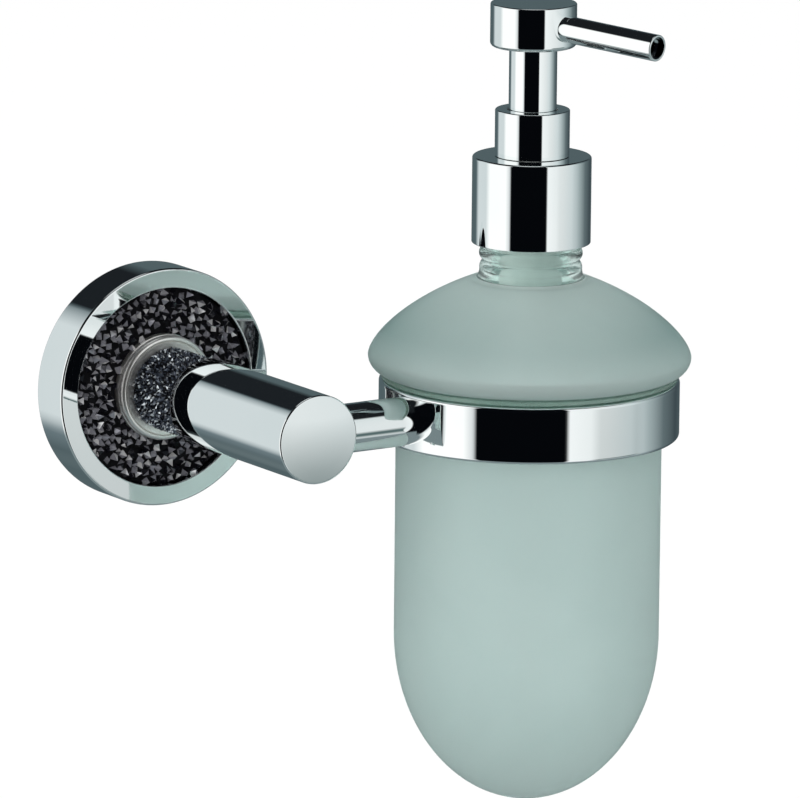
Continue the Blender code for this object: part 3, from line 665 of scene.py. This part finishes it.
# Ring liner. A thin moulded sleeve of translucent plastic that keeps the glass off the metal.
# Its flange shows as a narrow green-grey line between the ring and the bottle's shoulder.
liner_low, liner_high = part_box("ring_liner")
FLANGE_RADIUS = (liner_high[0] - liner_low[0]) / 2
LINER_ROOM = 0.0003
LINER_RADIUS = RING_RADIUS - RING_WALL - LINER_ROOM
LINER_WALL = 0.0013
FLANGE = 0.0012
LINER_TOP_EDGE = 0.0002
FLANGE_EDGE = 0.0004
LINER_FOOT_EDGE = 0.0003
lining = turned(
    "ring_lining",
    softened(
        [
            (LINER_RADIUS - LINER_WALL, liner_high[2], LINER_TOP_EDGE),
            (FLANGE_RADIUS, liner_high[2], FLANGE_EDGE),
            (FLANGE_RADIUS, liner_high[2] - FLANGE, FLANGE_EDGE),
            (LINER_RADIUS, liner_high[2] - FLANGE),
            (LINER_RADIUS, liner_low[2], LINER_FOOT_EDGE),
            (LINER_RADIUS - LINER_WALL, liner_low[2], LINER_FOOT_EDGE),
        ],
        4,
    ),
    AXIS,
    UP,
    192,
)


def moulded(name, light, dark, roughness, transmission, grain=900.0):
    """Moulded plastic: faint flow streaks in its tone and a fine even texture."""
    plastic = bpy.data.materials.new(name)
    shader = shader_of(plastic)
    links = plastic.node_tree.links
    marks = marked(plastic, 60.0, grain)
    links.new(tinted(plastic, marks.outputs["Smears"], light, dark), shader.inputs["Base Color"])
    links.new(
        ranged(plastic, marks.outputs["Hairlines"], roughness, roughness * 1.3), shader.inputs["Roughness"]
    )
    shader.inputs["Transmission Weight"].default_value = transmission
    bump = plastic.node_tree.nodes.new("ShaderNodeBump")
    bump.inputs["Strength"].default_value = 0.08
    bump.inputs["Distance"].default_value = 0.00003
    links.new(marks.outputs["Hairlines"], bump.inputs["Height"])
    links.new(bump.outputs["Normal"], shader.inputs["Normal"])
    return plastic


liner_plastic = moulded("translucent liner", (0.50, 0.68, 0.60), (0.42, 0.60, 0.53), 0.18, 0.75)
fitted(lining, liner_plastic, "wall_mount", "liner_plastic", "ring_liner")

# Bottle. Blown glass, acid frosted outside from the shoulder down and left clear at the threaded neck.
# The shoulder overhangs the ring, and the bottom is round, so the bottle only stands in its ring.
glass_low, glass_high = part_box("glass_bottle")
SHOULDER_RADIUS = (glass_high[0] - glass_low[0]) / 2
GLASS_ROOM = 0.0004
BODY_RADIUS = LINER_RADIUS - LINER_WALL - GLASS_ROOM
GLASS_WALL = 0.0022
SHOULDER_LIFT = 0.0003
SHOULDER_BASE = liner_high[2] + SHOULDER_LIFT
SHOULDER_EDGE = 0.0041
SHOULDER_MIDDLE = SHOULDER_BASE + SHOULDER_EDGE
SHOULDER_RISE = 0.0239
SHOULDER_POWER = 1.494
BOTTOM_DEPTH = 0.0442
BOTTOM_MIDDLE = glass_low[2] + BOTTOM_DEPTH
NECK_RADIUS = 0.01235
NECK_BORE = 0.0102
NECK_TOP = glass_high[2]
BEAD_RADIUS = 0.01330
BEAD_Z = SHOULDER_MIDDLE + 0.0232
BEAD_HEIGHT = 0.0034
TOP_BEAD_RADIUS = 0.01340
TOP_BEAD_Z = SHOULDER_MIDDLE + 0.0270
TOP_BEAD_HEIGHT = 0.0030
FROST_LINE = SHOULDER_MIDDLE + 0.0208
THREAD_RADIUS = 0.0010
THREAD_PITCH = 0.0042
THREAD_TURNS = 2.6
MOUTH_EDGE = 0.0006
MOUTH_EASE = 0.0002
FOOT_RADIUS = 0.0160
WAIST_DROP = 0.0004
SHOULDER_STEP = 0.0008
INNER_STEP = 0.0012
INNER_DROP = 0.0010
BORE_EASE = 0.0004
THREAD_FOOT = SHOULDER_MIDDLE + 0.0311


def shoulder_height(radius, widest=SHOULDER_RADIUS, rise=SHOULDER_RISE):
    """Height of the shoulder above its widest level at this radius."""
    share = max(0.0, 1.0 - (radius / widest) ** SHOULDER_POWER)
    return rise * share ** (1.0 / SHOULDER_POWER)


def neck_bead(middle, height, radius):
    """A round bead on the neck's outline, from its top to its foot."""
    points = []
    for step in range(13):
        turn = math.pi * step / 12
        swell = (radius - NECK_RADIUS) * math.sin(turn)
        points.append((NECK_RADIUS + swell, middle + height / 2 * math.cos(turn)))
    return points


def bottle_outside():
    """From the neck's rim down over the beads, the shoulder and the body to the bottom's centre."""
    points = [(NECK_RADIUS - MOUTH_EDGE, NECK_TOP)]
    points.append((NECK_RADIUS - MOUTH_EASE, NECK_TOP - MOUTH_EASE))
    points.append((NECK_RADIUS, NECK_TOP - MOUTH_EDGE))
    points += neck_bead(TOP_BEAD_Z, TOP_BEAD_HEIGHT, TOP_BEAD_RADIUS)
    points += neck_bead(BEAD_Z, BEAD_HEIGHT, BEAD_RADIUS)[:8]
    level = SHOULDER_MIDDLE + shoulder_height(FOOT_RADIUS)
    waist = BEAD_Z - WAIST_DROP
    for step in range(1, 9):
        share = step / 8
        reach = BEAD_RADIUS + (FOOT_RADIUS - BEAD_RADIUS) * share**2
        points.append((reach, waist + (level - waist) * (2 * share - share**2)))
    for step in range(1, 44):
        share = math.sin(math.pi / 2 * step / 44)
        radius = FOOT_RADIUS + (SHOULDER_RADIUS - FOOT_RADIUS) * share
        points.append((radius, SHOULDER_MIDDLE + shoulder_height(radius)))
    for step in range(13):
        turn = math.pi / 2 * step / 12
        points.append(
            (
                SHOULDER_RADIUS - SHOULDER_EDGE * (1.0 - math.cos(turn)),
                SHOULDER_MIDDLE - SHOULDER_EDGE * math.sin(turn),
            )
        )
    points.append((BODY_RADIUS + SHOULDER_STEP, SHOULDER_BASE))
    points.append((BODY_RADIUS, SHOULDER_BASE - SHOULDER_STEP))
    for step in range(48):
        turn = math.pi / 2 * step / 48
        points.append((BODY_RADIUS * math.cos(turn), BOTTOM_MIDDLE - BOTTOM_DEPTH * math.sin(turn)))
    points.append((0.0, glass_low[2]))
    return points


def bottle_inside():
    """From the bottom's centre up inside the body and the shoulder to the neck's rim."""
    inner = BODY_RADIUS - GLASS_WALL
    depth = BOTTOM_DEPTH - GLASS_WALL
    wide = SHOULDER_RADIUS - GLASS_WALL
    points = [(0.0, BOTTOM_MIDDLE - depth)]
    for step in range(32):
        turn = math.pi / 2 * (31 - step) / 32
        points.append((inner * math.cos(turn), BOTTOM_MIDDLE - depth * math.sin(turn)))
    points.append((inner, SHOULDER_BASE - INNER_DROP))
    points.append((inner + INNER_STEP, SHOULDER_BASE + INNER_STEP))
    points.append((wide - SHOULDER_EDGE * 0.5, SHOULDER_MIDDLE - SHOULDER_EDGE * 0.45))
    for step in range(20):
        radius = NECK_BORE + (wide - NECK_BORE) * math.sin(math.pi / 2 * (19.8 - step) / 20)
        height = shoulder_height(radius, wide, SHOULDER_RISE - GLASS_WALL * 0.6)
        points.append((radius, SHOULDER_MIDDLE + height))
    points.append((NECK_BORE, SHOULDER_MIDDLE + SHOULDER_RISE - GLASS_WALL * 0.6))
    points.append((NECK_BORE, NECK_TOP - BORE_EASE))
    points.append((NECK_BORE + BORE_EASE, NECK_TOP))
    return points


def thread_ridge():
    """The moulded thread: a round ridge that climbs the neck and fades into it at both ends."""
    steps = round(THREAD_TURNS * 48)
    curve = bpy.data.curves.new("neck_thread", "CURVE")
    curve.dimensions = "3D"
    curve.bevel_depth = THREAD_RADIUS
    curve.bevel_resolution = 3
    curve.use_fill_caps = True
    line = curve.splines.new("POLY")
    line.points.add(steps)
    for step, point in enumerate(line.points):
        turn = 2 * math.pi * (step / 48 + 0.30)
        fade = max(0.0, 1.0 - step / 14.0) + max(0.0, 1.0 - (steps - step) / 14.0)
        reach = NECK_RADIUS + 0.00005 - fade * 0.0011
        point.co = (
            AXIS.x + reach * math.cos(turn),
            AXIS.y + reach * math.sin(turn),
            THREAD_FOOT + THREAD_PITCH * step / 48,
            1.0,
        )
    ridge = bpy.data.objects.new("neck_thread", curve)
    bpy.context.scene.collection.objects.link(ridge)
    bpy.ops.object.select_all(action="DESELECT")
    ridge.select_set(True)
    bpy.context.view_layer.objects.active = ridge
    bpy.ops.object.convert(target="MESH")
    ridge = bpy.context.object
    bpy.ops.object.mode_set(mode="EDIT")
    bpy.ops.mesh.select_all(action="SELECT")
    bpy.ops.mesh.remove_doubles(threshold=0.00001)
    bpy.ops.mesh.normals_make_consistent(inside=False)
    bpy.ops.object.mode_set(mode="OBJECT")
    return ridge


bottle = turned("bottle_glass", bottle_outside() + bottle_inside(), AXIS, UP, 192)
ridge = thread_ridge()
bpy.context.view_layer.objects.active = bottle
thread = bottle.modifiers.new("thread", "BOOLEAN")
thread.operation = "UNION"
thread.object = ridge
bpy.ops.object.modifier_apply(modifier=thread.name)
bpy.data.objects.remove(ridge)
bpy.ops.object.select_all(action="DESELECT")
bottle.select_set(True)
bpy.ops.object.shade_smooth_by_angle(angle=math.radians(50))


def frosted_glass():
    """Acid frosted glass, pale green-grey, with painted shade that darkens it edge on, darkest on the
    shoulder's slopes, and painted light that makes it lighter towards the neck.
    """
    glass = bpy.data.materials.new("frosted bottle glass")
    shader = shader_of(glass)
    nodes = glass.node_tree.nodes
    links = glass.node_tree.links
    marks = marked(glass, 26.0, 2600.0)
    # Painted shade: the facing value darkens the base colour where the glass turns edge on.
    edge_shade_amount = nodes.new("ShaderNodeLayerWeight")
    edge_shade_amount.inputs["Blend"].default_value = 0.5
    body = tinted(glass, edge_shade_amount.outputs["Facing"], (0.78, 0.885, 0.87), (0.59, 0.72, 0.70))
    # Painted shade on the shoulder's slopes, far darker edge on than the body.
    shaded_slope = tinted(glass, edge_shade_amount.outputs["Facing"], (0.78, 0.885, 0.87), (0.22, 0.385, 0.37))
    # Painted light towards the neck: the top of the shoulder is lighter, with a milder painted edge shade.
    lit_neck_foot = tinted(glass, edge_shade_amount.outputs["Facing"], (0.86, 0.95, 0.93), (0.68, 0.81, 0.79))
    place = nodes.new("ShaderNodeTexCoord")
    level = nodes.new("ShaderNodeSeparateXYZ")
    links.new(place.outputs["Object"], level.inputs["Vector"])
    # Height mask that turns the shoulder from its painted slope shade to its painted light towards the neck.
    top = nodes.new("ShaderNodeMapRange")
    top.inputs["From Min"].default_value = SHOULDER_MIDDLE + SHOULDER_RISE * 0.30
    top.inputs["From Max"].default_value = SHOULDER_MIDDLE + SHOULDER_RISE * 0.85
    links.new(level.outputs["Z"], top.inputs["Value"])
    shoulder = nodes.new("ShaderNodeMix")
    shoulder.data_type = "RGBA"
    links.new(top.outputs["Result"], shoulder.inputs["Factor"])
    links.new(shaded_slope, shoulder.inputs["A"])
    links.new(lit_neck_foot, shoulder.inputs["B"])
    rise = nodes.new("ShaderNodeMapRange")
    rise.interpolation_type = "SMOOTHSTEP"
    rise.inputs["From Min"].default_value = SHOULDER_BASE
    rise.inputs["From Max"].default_value = SHOULDER_MIDDLE + SHOULDER_RISE * 0.4
    links.new(level.outputs["Z"], rise.inputs["Value"])
    # Blends the body's colour into the shoulder's painted shade and light, from the ring upwards.
    depth = nodes.new("ShaderNodeMix")
    depth.data_type = "RGBA"
    links.new(rise.outputs["Result"], depth.inputs["Factor"])
    links.new(body, depth.inputs["A"])
    links.new(shoulder.outputs["Result"], depth.inputs["B"])
    cloud = nodes.new("ShaderNodeMix")
    cloud.data_type = "RGBA"
    cloud.blend_type = "MULTIPLY"
    cloud.inputs["B"].default_value = (0.94, 0.955, 0.955, 1.0)
    links.new(marks.outputs["Smears"], cloud.inputs["Factor"])
    links.new(depth.outputs["Result"], cloud.inputs["A"])
    links.new(cloud.outputs["Result"], shader.inputs["Base Color"])
    links.new(ranged(glass, marks.outputs["Smears"], 0.46, 0.54), shader.inputs["Roughness"])
    shader.inputs["Transmission Weight"].default_value = 0.72
    shader.inputs["IOR"].default_value = 1.45
    grain = nodes.new("ShaderNodeBump")
    grain.inputs["Strength"].default_value = 0.10
    grain.inputs["Distance"].default_value = 0.00003
    links.new(marks.outputs["Hairlines"], grain.inputs["Height"])
    links.new(grain.outputs["Normal"], shader.inputs["Normal"])
    return glass


def clear_glass():
    """The clear neck: bright glass with faint mould ripples."""
    glass = bpy.data.materials.new("clear neck glass")
    shader = shader_of(glass)
    links = glass.node_tree.links
    marks = marked(glass, 220.0, 400.0)
    links.new(
        tinted(glass, marks.outputs["Smears"], (0.82, 0.93, 0.90), (0.76, 0.88, 0.85)),
        shader.inputs["Base Color"],
    )
    links.new(ranged(glass, marks.outputs["Smears"], 0.10, 0.22), shader.inputs["Roughness"])
    shader.inputs["Transmission Weight"].default_value = 1.0
    shader.inputs["IOR"].default_value = 1.42
    ripple = glass.node_tree.nodes.new("ShaderNodeBump")
    ripple.inputs["Strength"].default_value = 0.25
    ripple.inputs["Distance"].default_value = 0.0002
    links.new(marks.outputs["Hairlines"], ripple.inputs["Height"])
    links.new(ripple.outputs["Normal"], shader.inputs["Normal"])
    return glass


fitted(bottle, frosted_glass(), "bottle", "frosted_glass", "glass_bottle")
bottle.data.materials.append(clear_glass())
for face in bottle.data.polygons:
    if face.center.z > FROST_LINE:
        face.material_index = 1

# Screw collar. A spun chrome shell with a crisp top edge, pressed over a threaded plastic insert.
cap_low, cap_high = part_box("screw_collar")
CAP_RADIUS = (cap_high[0] - cap_low[0]) / 2
CAP_SHELL = 0.0005
CAP_BORE = 0.0082
CAP_TOP_EDGE = 0.0006
CAP_FOOT_EDGE = 0.0002
cap = turned(
    "screw_collar_shell",
    softened(
        [
            (CAP_BORE, cap_high[2]),
            (CAP_RADIUS, cap_high[2], CAP_TOP_EDGE),
            (CAP_RADIUS, cap_low[2], CAP_FOOT_EDGE),
            (CAP_RADIUS - CAP_SHELL, cap_low[2], CAP_FOOT_EDGE),
            (CAP_RADIUS - CAP_SHELL, cap_high[2] - CAP_SHELL),
            (CAP_BORE, cap_high[2] - CAP_SHELL),
        ]
    ),
    AXIS,
    UP,
    192,
)
fitted(cap, chrome, "pump_collar", "chrome", "screw_collar")

# Guide collar. A chrome bush over the pump's neck that guides the stem.
guide_low, guide_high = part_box("guide_collar")
GUIDE_WALL = 0.0016
GUIDE_ROOF = 0.0012
GUIDE_ROOM = 0.0003
GUIDE_TOP_EDGE = 0.0004
GUIDE_FOOT_EDGE = 0.0001
GUIDE_BORE_EDGE = 0.0003
FOOT_ROOM = 0.0001
GUIDE_RADIUS = (guide_high[0] - guide_low[0]) / 2
trim_low, trim_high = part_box("trim_tube")
TRIM_RADIUS = (trim_high[0] - trim_low[0]) / 2
GUIDE_FOOT = cap_high[2] + FOOT_ROOM
guide = turned(
    "guide_bush",
    softened(
        [
            (TRIM_RADIUS + GUIDE_ROOM, guide_high[2], GUIDE_BORE_EDGE),
            (GUIDE_RADIUS, guide_high[2], GUIDE_TOP_EDGE),
            (GUIDE_RADIUS, GUIDE_FOOT, GUIDE_FOOT_EDGE),
            (GUIDE_RADIUS - GUIDE_WALL, GUIDE_FOOT),
            (GUIDE_RADIUS - GUIDE_WALL, guide_high[2] - GUIDE_ROOF),
            (TRIM_RADIUS + GUIDE_ROOM, guide_high[2] - GUIDE_ROOF),
        ]
    ),
    AXIS,
    UP,
    160,
)
fitted(guide, chrome, "pump", "chrome", "guide_collar")

# Stem tube. A drawn chrome tube over the plastic stem, the part that slides when the pump is pressed.
TUBE_BORE = 0.0038
TUBE_TOP_EDGE = 0.0002
TUBE_FOOT_EDGE = 0.0004
tube = turned(
    "stem_tube",
    softened(
        [
            (TUBE_BORE, trim_high[2]),
            (TRIM_RADIUS, trim_high[2], TUBE_TOP_EDGE),
            (TRIM_RADIUS, trim_low[2], TUBE_FOOT_EDGE),
            (TUBE_BORE, trim_low[2]),
        ]
    ),
    AXIS,
    UP,
    128,
)
fitted(tube, chrome, "plunger", "chrome", "trim_tube")

# Push button. A solid chromed disc with a crisp top rim and a rounded lower rim.
head_low, head_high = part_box("pump_head")
HEAD_RADIUS = (head_high[0] - head_low[0]) / 2
stem_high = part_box("stem")[1]
BORE_ROOM = 0.0003
BUTTON_BORE = 0.0040
BUTTON_TOP_EDGE = 0.0004
BUTTON_ROUND = 0.0011
BORE_EDGE = 0.0003
button = turned(
    "push_button",
    softened(
        [
            (0.0, head_high[2]),
            (HEAD_RADIUS, head_high[2], BUTTON_TOP_EDGE),
            (HEAD_RADIUS, head_low[2], BUTTON_ROUND),
            (BUTTON_BORE, head_low[2], BORE_EDGE),
            (BUTTON_BORE, stem_high[2] + BORE_ROOM),
            (0.0, stem_high[2] + BORE_ROOM),
        ]
    ),
    AXIS,
    UP,
    192,
)
fitted(button, chrome, "spray_head", "chrome", "pump_head")

# Spout. A straight chrome tube that leaves the button a little below its middle and droops slightly.
# Its mouth is bored out one step wider.
SPOUT_RADIUS = 0.00344
SPOUT_BORE = 0.0022
MOUTH_RADIUS = 0.0028
MOUTH_DEPTH = 0.0026
SPOUT_REACH = 0.0404
SPOUT_RISE = 0.0062
SPOUT_ROOT = 0.0065
MOUTH_IN_EDGE = 0.0002
MOUTH_RIM = 0.0003
SPOUT_TURN = math.radians(17.85)
SPOUT_DROOP = math.radians(3.1)
flow = Vector(
    (
        math.sin(SPOUT_TURN) * math.cos(SPOUT_DROOP),
        -math.cos(SPOUT_TURN) * math.cos(SPOUT_DROOP),
        -math.sin(SPOUT_DROOP),
    )
)
spout_start = AXIS + UP * (head_low[2] + SPOUT_RISE)
spout = turned(
    "spout",
    softened(
        [
            (MOUTH_RADIUS, SPOUT_REACH, MOUTH_IN_EDGE),
            (SPOUT_RADIUS, SPOUT_REACH, MOUTH_RIM),
            (SPOUT_RADIUS, SPOUT_ROOT),
            (SPOUT_BORE, SPOUT_ROOT),
            (SPOUT_BORE, SPOUT_REACH - MOUTH_DEPTH),
            (MOUTH_RADIUS, SPOUT_REACH - MOUTH_DEPTH),
        ]
    ),
    spout_start,
    flow,
    96,
)
fitted(spout, chrome, "spray_head", "chrome", "nozzle")

# Pump body and dip tube. Natural polypropylene: the barrel shows through the clear neck.
# The dip tube hangs from the barrel's tail to just above the bottom of the bottle.
body_low, body_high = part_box("pump_housing")
BARREL_RADIUS = 0.0081
FLANGE_FOOT = NECK_TOP + 0.0018
FLANGE_TOP = NECK_TOP + 0.0029
BARREL_FLANGE = 0.0129
BARREL_BORE = 0.0069
BARREL_NECK = 0.0077
TAIL_RADIUS = 0.0044
TAIL_BORE = 0.0031
INLET_RADIUS = 0.0017
BALL_SEAT = 0.0028
TAIL_TOP = body_low[2] + 0.0166
BARREL_FOOT = body_low[2] + 0.0178
SOCKET_TOP = body_low[2] + 0.0090
SEAT_HEIGHT = body_low[2] + 0.0113
BARREL_FLOOR = body_low[2] + 0.0190
BARREL_ROUND = 0.0006
TAIL_ROUND = 0.0004
TAIL_EDGE = 0.0002
barrel = turned(
    "pump_barrel",
    softened(
        [
            (BARREL_BORE, body_high[2]),
            (BARREL_NECK, body_high[2]),
            (BARREL_NECK, FLANGE_TOP),
            (BARREL_FLANGE, FLANGE_TOP),
            (BARREL_FLANGE, FLANGE_FOOT),
            (BARREL_RADIUS, FLANGE_FOOT),
            (BARREL_RADIUS, BARREL_FOOT, BARREL_ROUND),
            (TAIL_RADIUS, TAIL_TOP, TAIL_ROUND),
            (TAIL_RADIUS, body_low[2], TAIL_EDGE),
            (TAIL_BORE, body_low[2]),
            (TAIL_BORE, SOCKET_TOP),
            (INLET_RADIUS, SOCKET_TOP),
            (INLET_RADIUS, SEAT_HEIGHT),
            (BALL_SEAT, SEAT_HEIGHT),
            (BALL_SEAT, BARREL_FLOOR),
            (BARREL_BORE, BARREL_FLOOR),
        ],
        4,
    ),
    AXIS,
    UP,
    96,
)
white_plastic = moulded("natural polypropylene", (0.94, 0.95, 0.94), (0.90, 0.91, 0.90), 0.35, 0.0)
fitted(barrel, white_plastic, "pump", "white_plastic", "pump_housing")
tube_low, tube_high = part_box("dip_tube")
dip = turned(
    "suction_tube",
    [(0.0019, tube_high[2]), (0.0028, tube_high[2]), (0.0028, tube_low[2]), (0.0019, tube_low[2])],
    AXIS,
    UP,
    48,
)
fitted(dip, white_plastic, "pump", "white_plastic", "dip_tube")

# Inner parts and wall fixings. They keep their CAD shape and take the finish of their own material.
rubber = moulded("grey gasket rubber", (0.09, 0.095, 0.095), (0.06, 0.062, 0.064), 0.6, 0.0)
ball_steel = turned_metal("ground ball steel", (0.72, 0.72, 0.71), (0.64, 0.64, 0.64), 0.12)
kept = {
    "wall_plate": steel,
    "wall_screw_left": steel,
    "wall_screw_right": steel,
    "arm_stud": steel,
    "spacer_tube": steel,
    "ring_screw": steel,
    "collar_insert": white_plastic,
    "stem": white_plastic,
    "piston": white_plastic,
    "neck_gasket": rubber,
    "inlet_ball": ball_steel,
}
for node, finish in kept.items():
    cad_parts[node].material_slots[0].material = finish

# Return spring. A stainless wire coil between the barrel's floor and the piston.
# It is built at the length of its CAD part; in use it shortens as the button goes down and lifts the button
# again.
SPRING_WIRE = 0.0004
SPRING_TURNS = 5
TURN_POINTS = 24
spring_low, spring_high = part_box("return_spring")
spring_length = spring_high[2] - spring_low[2]
spring_radius = (spring_high[0] - spring_low[0]) / 2 - SPRING_WIRE
coil_low = spring_low[2] + SPRING_WIRE
coil_rise = spring_length - 2 * SPRING_WIRE
coil = bpy.data.curves.new("coil", "CURVE")
coil.dimensions = "3D"
coil.bevel_depth = SPRING_WIRE
coil.bevel_resolution = 2
coil.use_fill_caps = True
path = coil.splines.new("POLY")
path.points.add(SPRING_TURNS * TURN_POINTS)
for step, point in enumerate(path.points):
    turn = 2 * math.pi * step / TURN_POINTS
    height = coil_low + coil_rise * step / (SPRING_TURNS * TURN_POINTS)
    across = AXIS[0] + spring_radius * math.cos(turn)
    point.co = (across, AXIS[1] + spring_radius * math.sin(turn), height, 1.0)
spring = bpy.data.objects.new("coil_spring", coil)
bpy.context.scene.collection.objects.link(spring)
bpy.ops.object.select_all(action="DESELECT")
spring.select_set(True)
bpy.context.view_layer.objects.active = spring
bpy.ops.object.convert(target="MESH")
spring = bpy.context.object
fitted(spring, steel, "pump", "zinc_steel", "return_spring")
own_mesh(spring)

# Studio. A plain pale floor far below, a white surround, and a soft box arrangement in reflections:
# a dark camera side, white panels on both sides, and a dim grey-green back of the room.
CAMERA_TURN = math.radians(-32.84)
CAMERA_RISE = math.radians(12.0)
CAMERA_ROLL = math.radians(0.524)
CAMERA_REACH = 2.3595
CAMERA_ASIDE = 0.0680
CAMERA_ABOVE = -0.0053
towards = Vector(
    (
        math.sin(CAMERA_TURN) * math.cos(CAMERA_RISE),
        -math.cos(CAMERA_TURN) * math.cos(CAMERA_RISE),
        math.sin(CAMERA_RISE),
    )
)
level_right = Vector((math.cos(CAMERA_TURN), math.sin(CAMERA_TURN), 0.0))
tilted_up = towards.cross(level_right)
camera_right = level_right * math.cos(CAMERA_ROLL) + tilted_up * math.sin(CAMERA_ROLL)
camera_up = tilted_up * math.cos(CAMERA_ROLL) - level_right * math.sin(CAMERA_ROLL)
place = towards * CAMERA_REACH + camera_right * CAMERA_ASIDE + camera_up * CAMERA_ABOVE
lens = bpy.data.cameras.new("camera")
lens.sensor_width = 36.0
lens.lens = 405.0
lens.clip_end = 30.0
camera = bpy.data.objects.new("camera", lens)
bpy.context.scene.collection.objects.link(camera)
turn = Matrix((camera_right, camera_up, towards)).transposed().to_4x4()
camera.matrix_world = Matrix.Translation(place) @ turn
bpy.context.scene.camera = camera

bpy.ops.object.select_all(action="DESELECT")
bpy.ops.mesh.primitive_plane_add(size=60.0, location=(0.0, 0.0, cad_low[2] - 0.10))
floor = bpy.context.object
floor.name = "floor"
floor.visible_glossy = False
floor.visible_transmission = False
pale = bpy.data.materials.new("pale floor")
pale_shader = shader_of(pale)
floor_marks = marked(pale, 0.5, 4.0)
pale.node_tree.links.new(
    tinted(pale, floor_marks.outputs["Smears"], (0.93, 0.93, 0.93), (0.92, 0.925, 0.925)),
    pale_shader.inputs["Base Color"],
)
pale_shader.inputs["Roughness"].default_value = 0.9
pale_shader.inputs["Specular IOR Level"].default_value = 0.0
floor.data.materials.append(pale)

soft = bpy.data.lights.new("soft_box", "AREA")
soft.shape = "SQUARE"
soft.size = 0.9
soft.energy = 3.0
soft.color = (1.0, 1.0, 0.98)
soft.use_shadow = False
soft_box = bpy.data.objects.new("soft_box", soft)
bpy.context.scene.collection.objects.link(soft_box)
aim = level_right * -1.25 + towards * 0.9 + UP * 0.5
soft_box.matrix_world = Matrix.Translation(aim) @ aim.to_track_quat("Z", "Y").to_matrix().to_4x4()
soft_box.visible_glossy = False
soft_box.visible_camera = False

world = bpy.data.worlds.new("studio")
bpy.context.scene.world = world
world.use_nodes = True
sky = world.node_tree
sky.nodes.clear()
links = sky.links


def sky_math(operation, first, second=None, third=None):
    """One calculation on numbers or sockets in the studio's surround."""
    node = sky.nodes.new("ShaderNodeMath")
    node.operation = operation
    for slot, value in enumerate((first, second, third)):
        if value is None:
            continue
        if isinstance(value, (int, float)):
            node.inputs[slot].default_value = value
        else:
            links.new(value, node.inputs[slot])
    return node.outputs["Value"]


def between(value, low, high, soft):
    """1 where the value lies between low and high, with soft ends."""
    above = sky_math("DIVIDE", sky_math("SUBTRACT", value, low - soft), soft)
    rise = sky_math("SMOOTH_MIN", 1.0, above, 0.01)
    below = sky_math("DIVIDE", sky_math("SUBTRACT", high + soft, value), soft)
    fall = sky_math("SMOOTH_MIN", 1.0, below, 0.01)
    return sky_math(
        "MULTIPLY", sky_math("MAXIMUM", rise, 0.0), sky_math("MAXIMUM", fall, 0.0)
    )


def sky_mix(factor, first, second):
    node = sky.nodes.new("ShaderNodeMix")
    node.data_type = "RGBA"
    links.new(factor, node.inputs["Factor"])
    for name, value in (("A", first), ("B", second)):
        if isinstance(value, tuple):
            node.inputs[name].default_value = (*value, 1.0)
        else:
            links.new(value, node.inputs[name])
    return node.outputs["Result"]


direction = sky.nodes.new("ShaderNodeTexCoord").outputs["Generated"]


def along_way(vector):
    node = sky.nodes.new("ShaderNodeVectorMath")
    node.operation = "DOT_PRODUCT"
    links.new(direction, node.inputs[0])
    node.inputs[1].default_value = vector
    return node.outputs["Value"]


level_towards = Vector((towards.x, towards.y, 0.0)).normalized()
around = sky_math(
    "MULTIPLY", sky_math("ARCTAN2", along_way(level_right), along_way(level_towards)), 180 / math.pi
)
height = sky_math("MULTIPLY", sky_math("ARCSINE", along_way(UP)), 180 / math.pi)
share = sky_math("ADD", sky_math("DIVIDE", around, 360.0), 0.5)
panels = sky.nodes.new("ShaderNodeValToRGB")
links.new(share, panels.inputs["Fac"])
DIM = (0.085, 0.120, 0.130)
DARK = (0.0015, 0.002, 0.003)
WHITE = (1.08, 1.09, 1.08)
stops = [
    (-180, DIM),
    (-140, DIM),
    (-126, (0.16, 0.21, 0.23)),
    (-112, (0.62, 0.68, 0.69)),
    (-96, WHITE),
    (-52, WHITE),
    (-44, (0.70, 0.73, 0.74)),
    (-41, DARK),
    (28, DARK),
    (31, (0.94, 0.97, 0.97)),
    (62, (0.80, 0.84, 0.84)),
    (84, (0.66, 0.73, 0.74)),
    (104, (0.36, 0.43, 0.44)),
    (125, (0.12, 0.16, 0.17)),
    (150, (0.05, 0.07, 0.08)),
    (180, DIM),
]
ramp = panels.color_ramp
while len(ramp.elements) < len(stops):
    ramp.elements.new(0.5)
for element, (degrees, colour) in zip(ramp.elements, stops):
    element.position = degrees / 360.0 + 0.5
    element.color = (*colour, 1.0)
surround = panels.outputs["Color"]
far_left = sky_math("MULTIPLY", between(around, -124.0, -100.0, 11.0), between(height, -20.0, 30.0, 8.0))
surround = sky_mix(far_left, surround, (0.66, 0.72, 0.73))
behind = sky_math("SUBTRACT", 1.0, between(around, -133.0, 147.0, 3.0))
over = between(height, 25.0, 70.0, 8.0)
surround = sky_mix(sky_math("MULTIPLY", behind, over), surround, (0.012, 0.015, 0.018))
table_edge = sky_math("MULTIPLY", between(around, 56.0, 90.0, 8.0), between(height, -25.0, -19.0, 9.0))
surround = sky_mix(table_edge, surround, (0.10, 0.15, 0.15))
surround = sky_mix(between(height, 42.0, 90.0, 5.0), surround, (0.010, 0.012, 0.014))
surround = sky_mix(between(height, 74.0, 90.0, 5.0), surround, (0.70, 0.74, 0.75))
surround = sky_mix(between(height, -90.0, -38.0, 6.0), surround, (0.20, 0.25, 0.26))

rays = sky.nodes.new("ShaderNodeLightPath").outputs
sky_look = sky_mix(rays["Is Glossy Ray"], (1.07, 1.07, 1.07), surround)
sky_look = sky_mix(rays["Is Transmission Ray"], sky_look, (0.84, 0.90, 0.89))
background = sky.nodes.new("ShaderNodeBackground")
links.new(sky_look, background.inputs["Color"])
background.inputs["Strength"].default_value = 1.0
sky_out = sky.nodes.new("ShaderNodeOutputWorld")
links.new(background.outputs["Background"], sky_out.inputs["Surface"])

bpy.context.scene.view_settings.view_transform = "Standard"
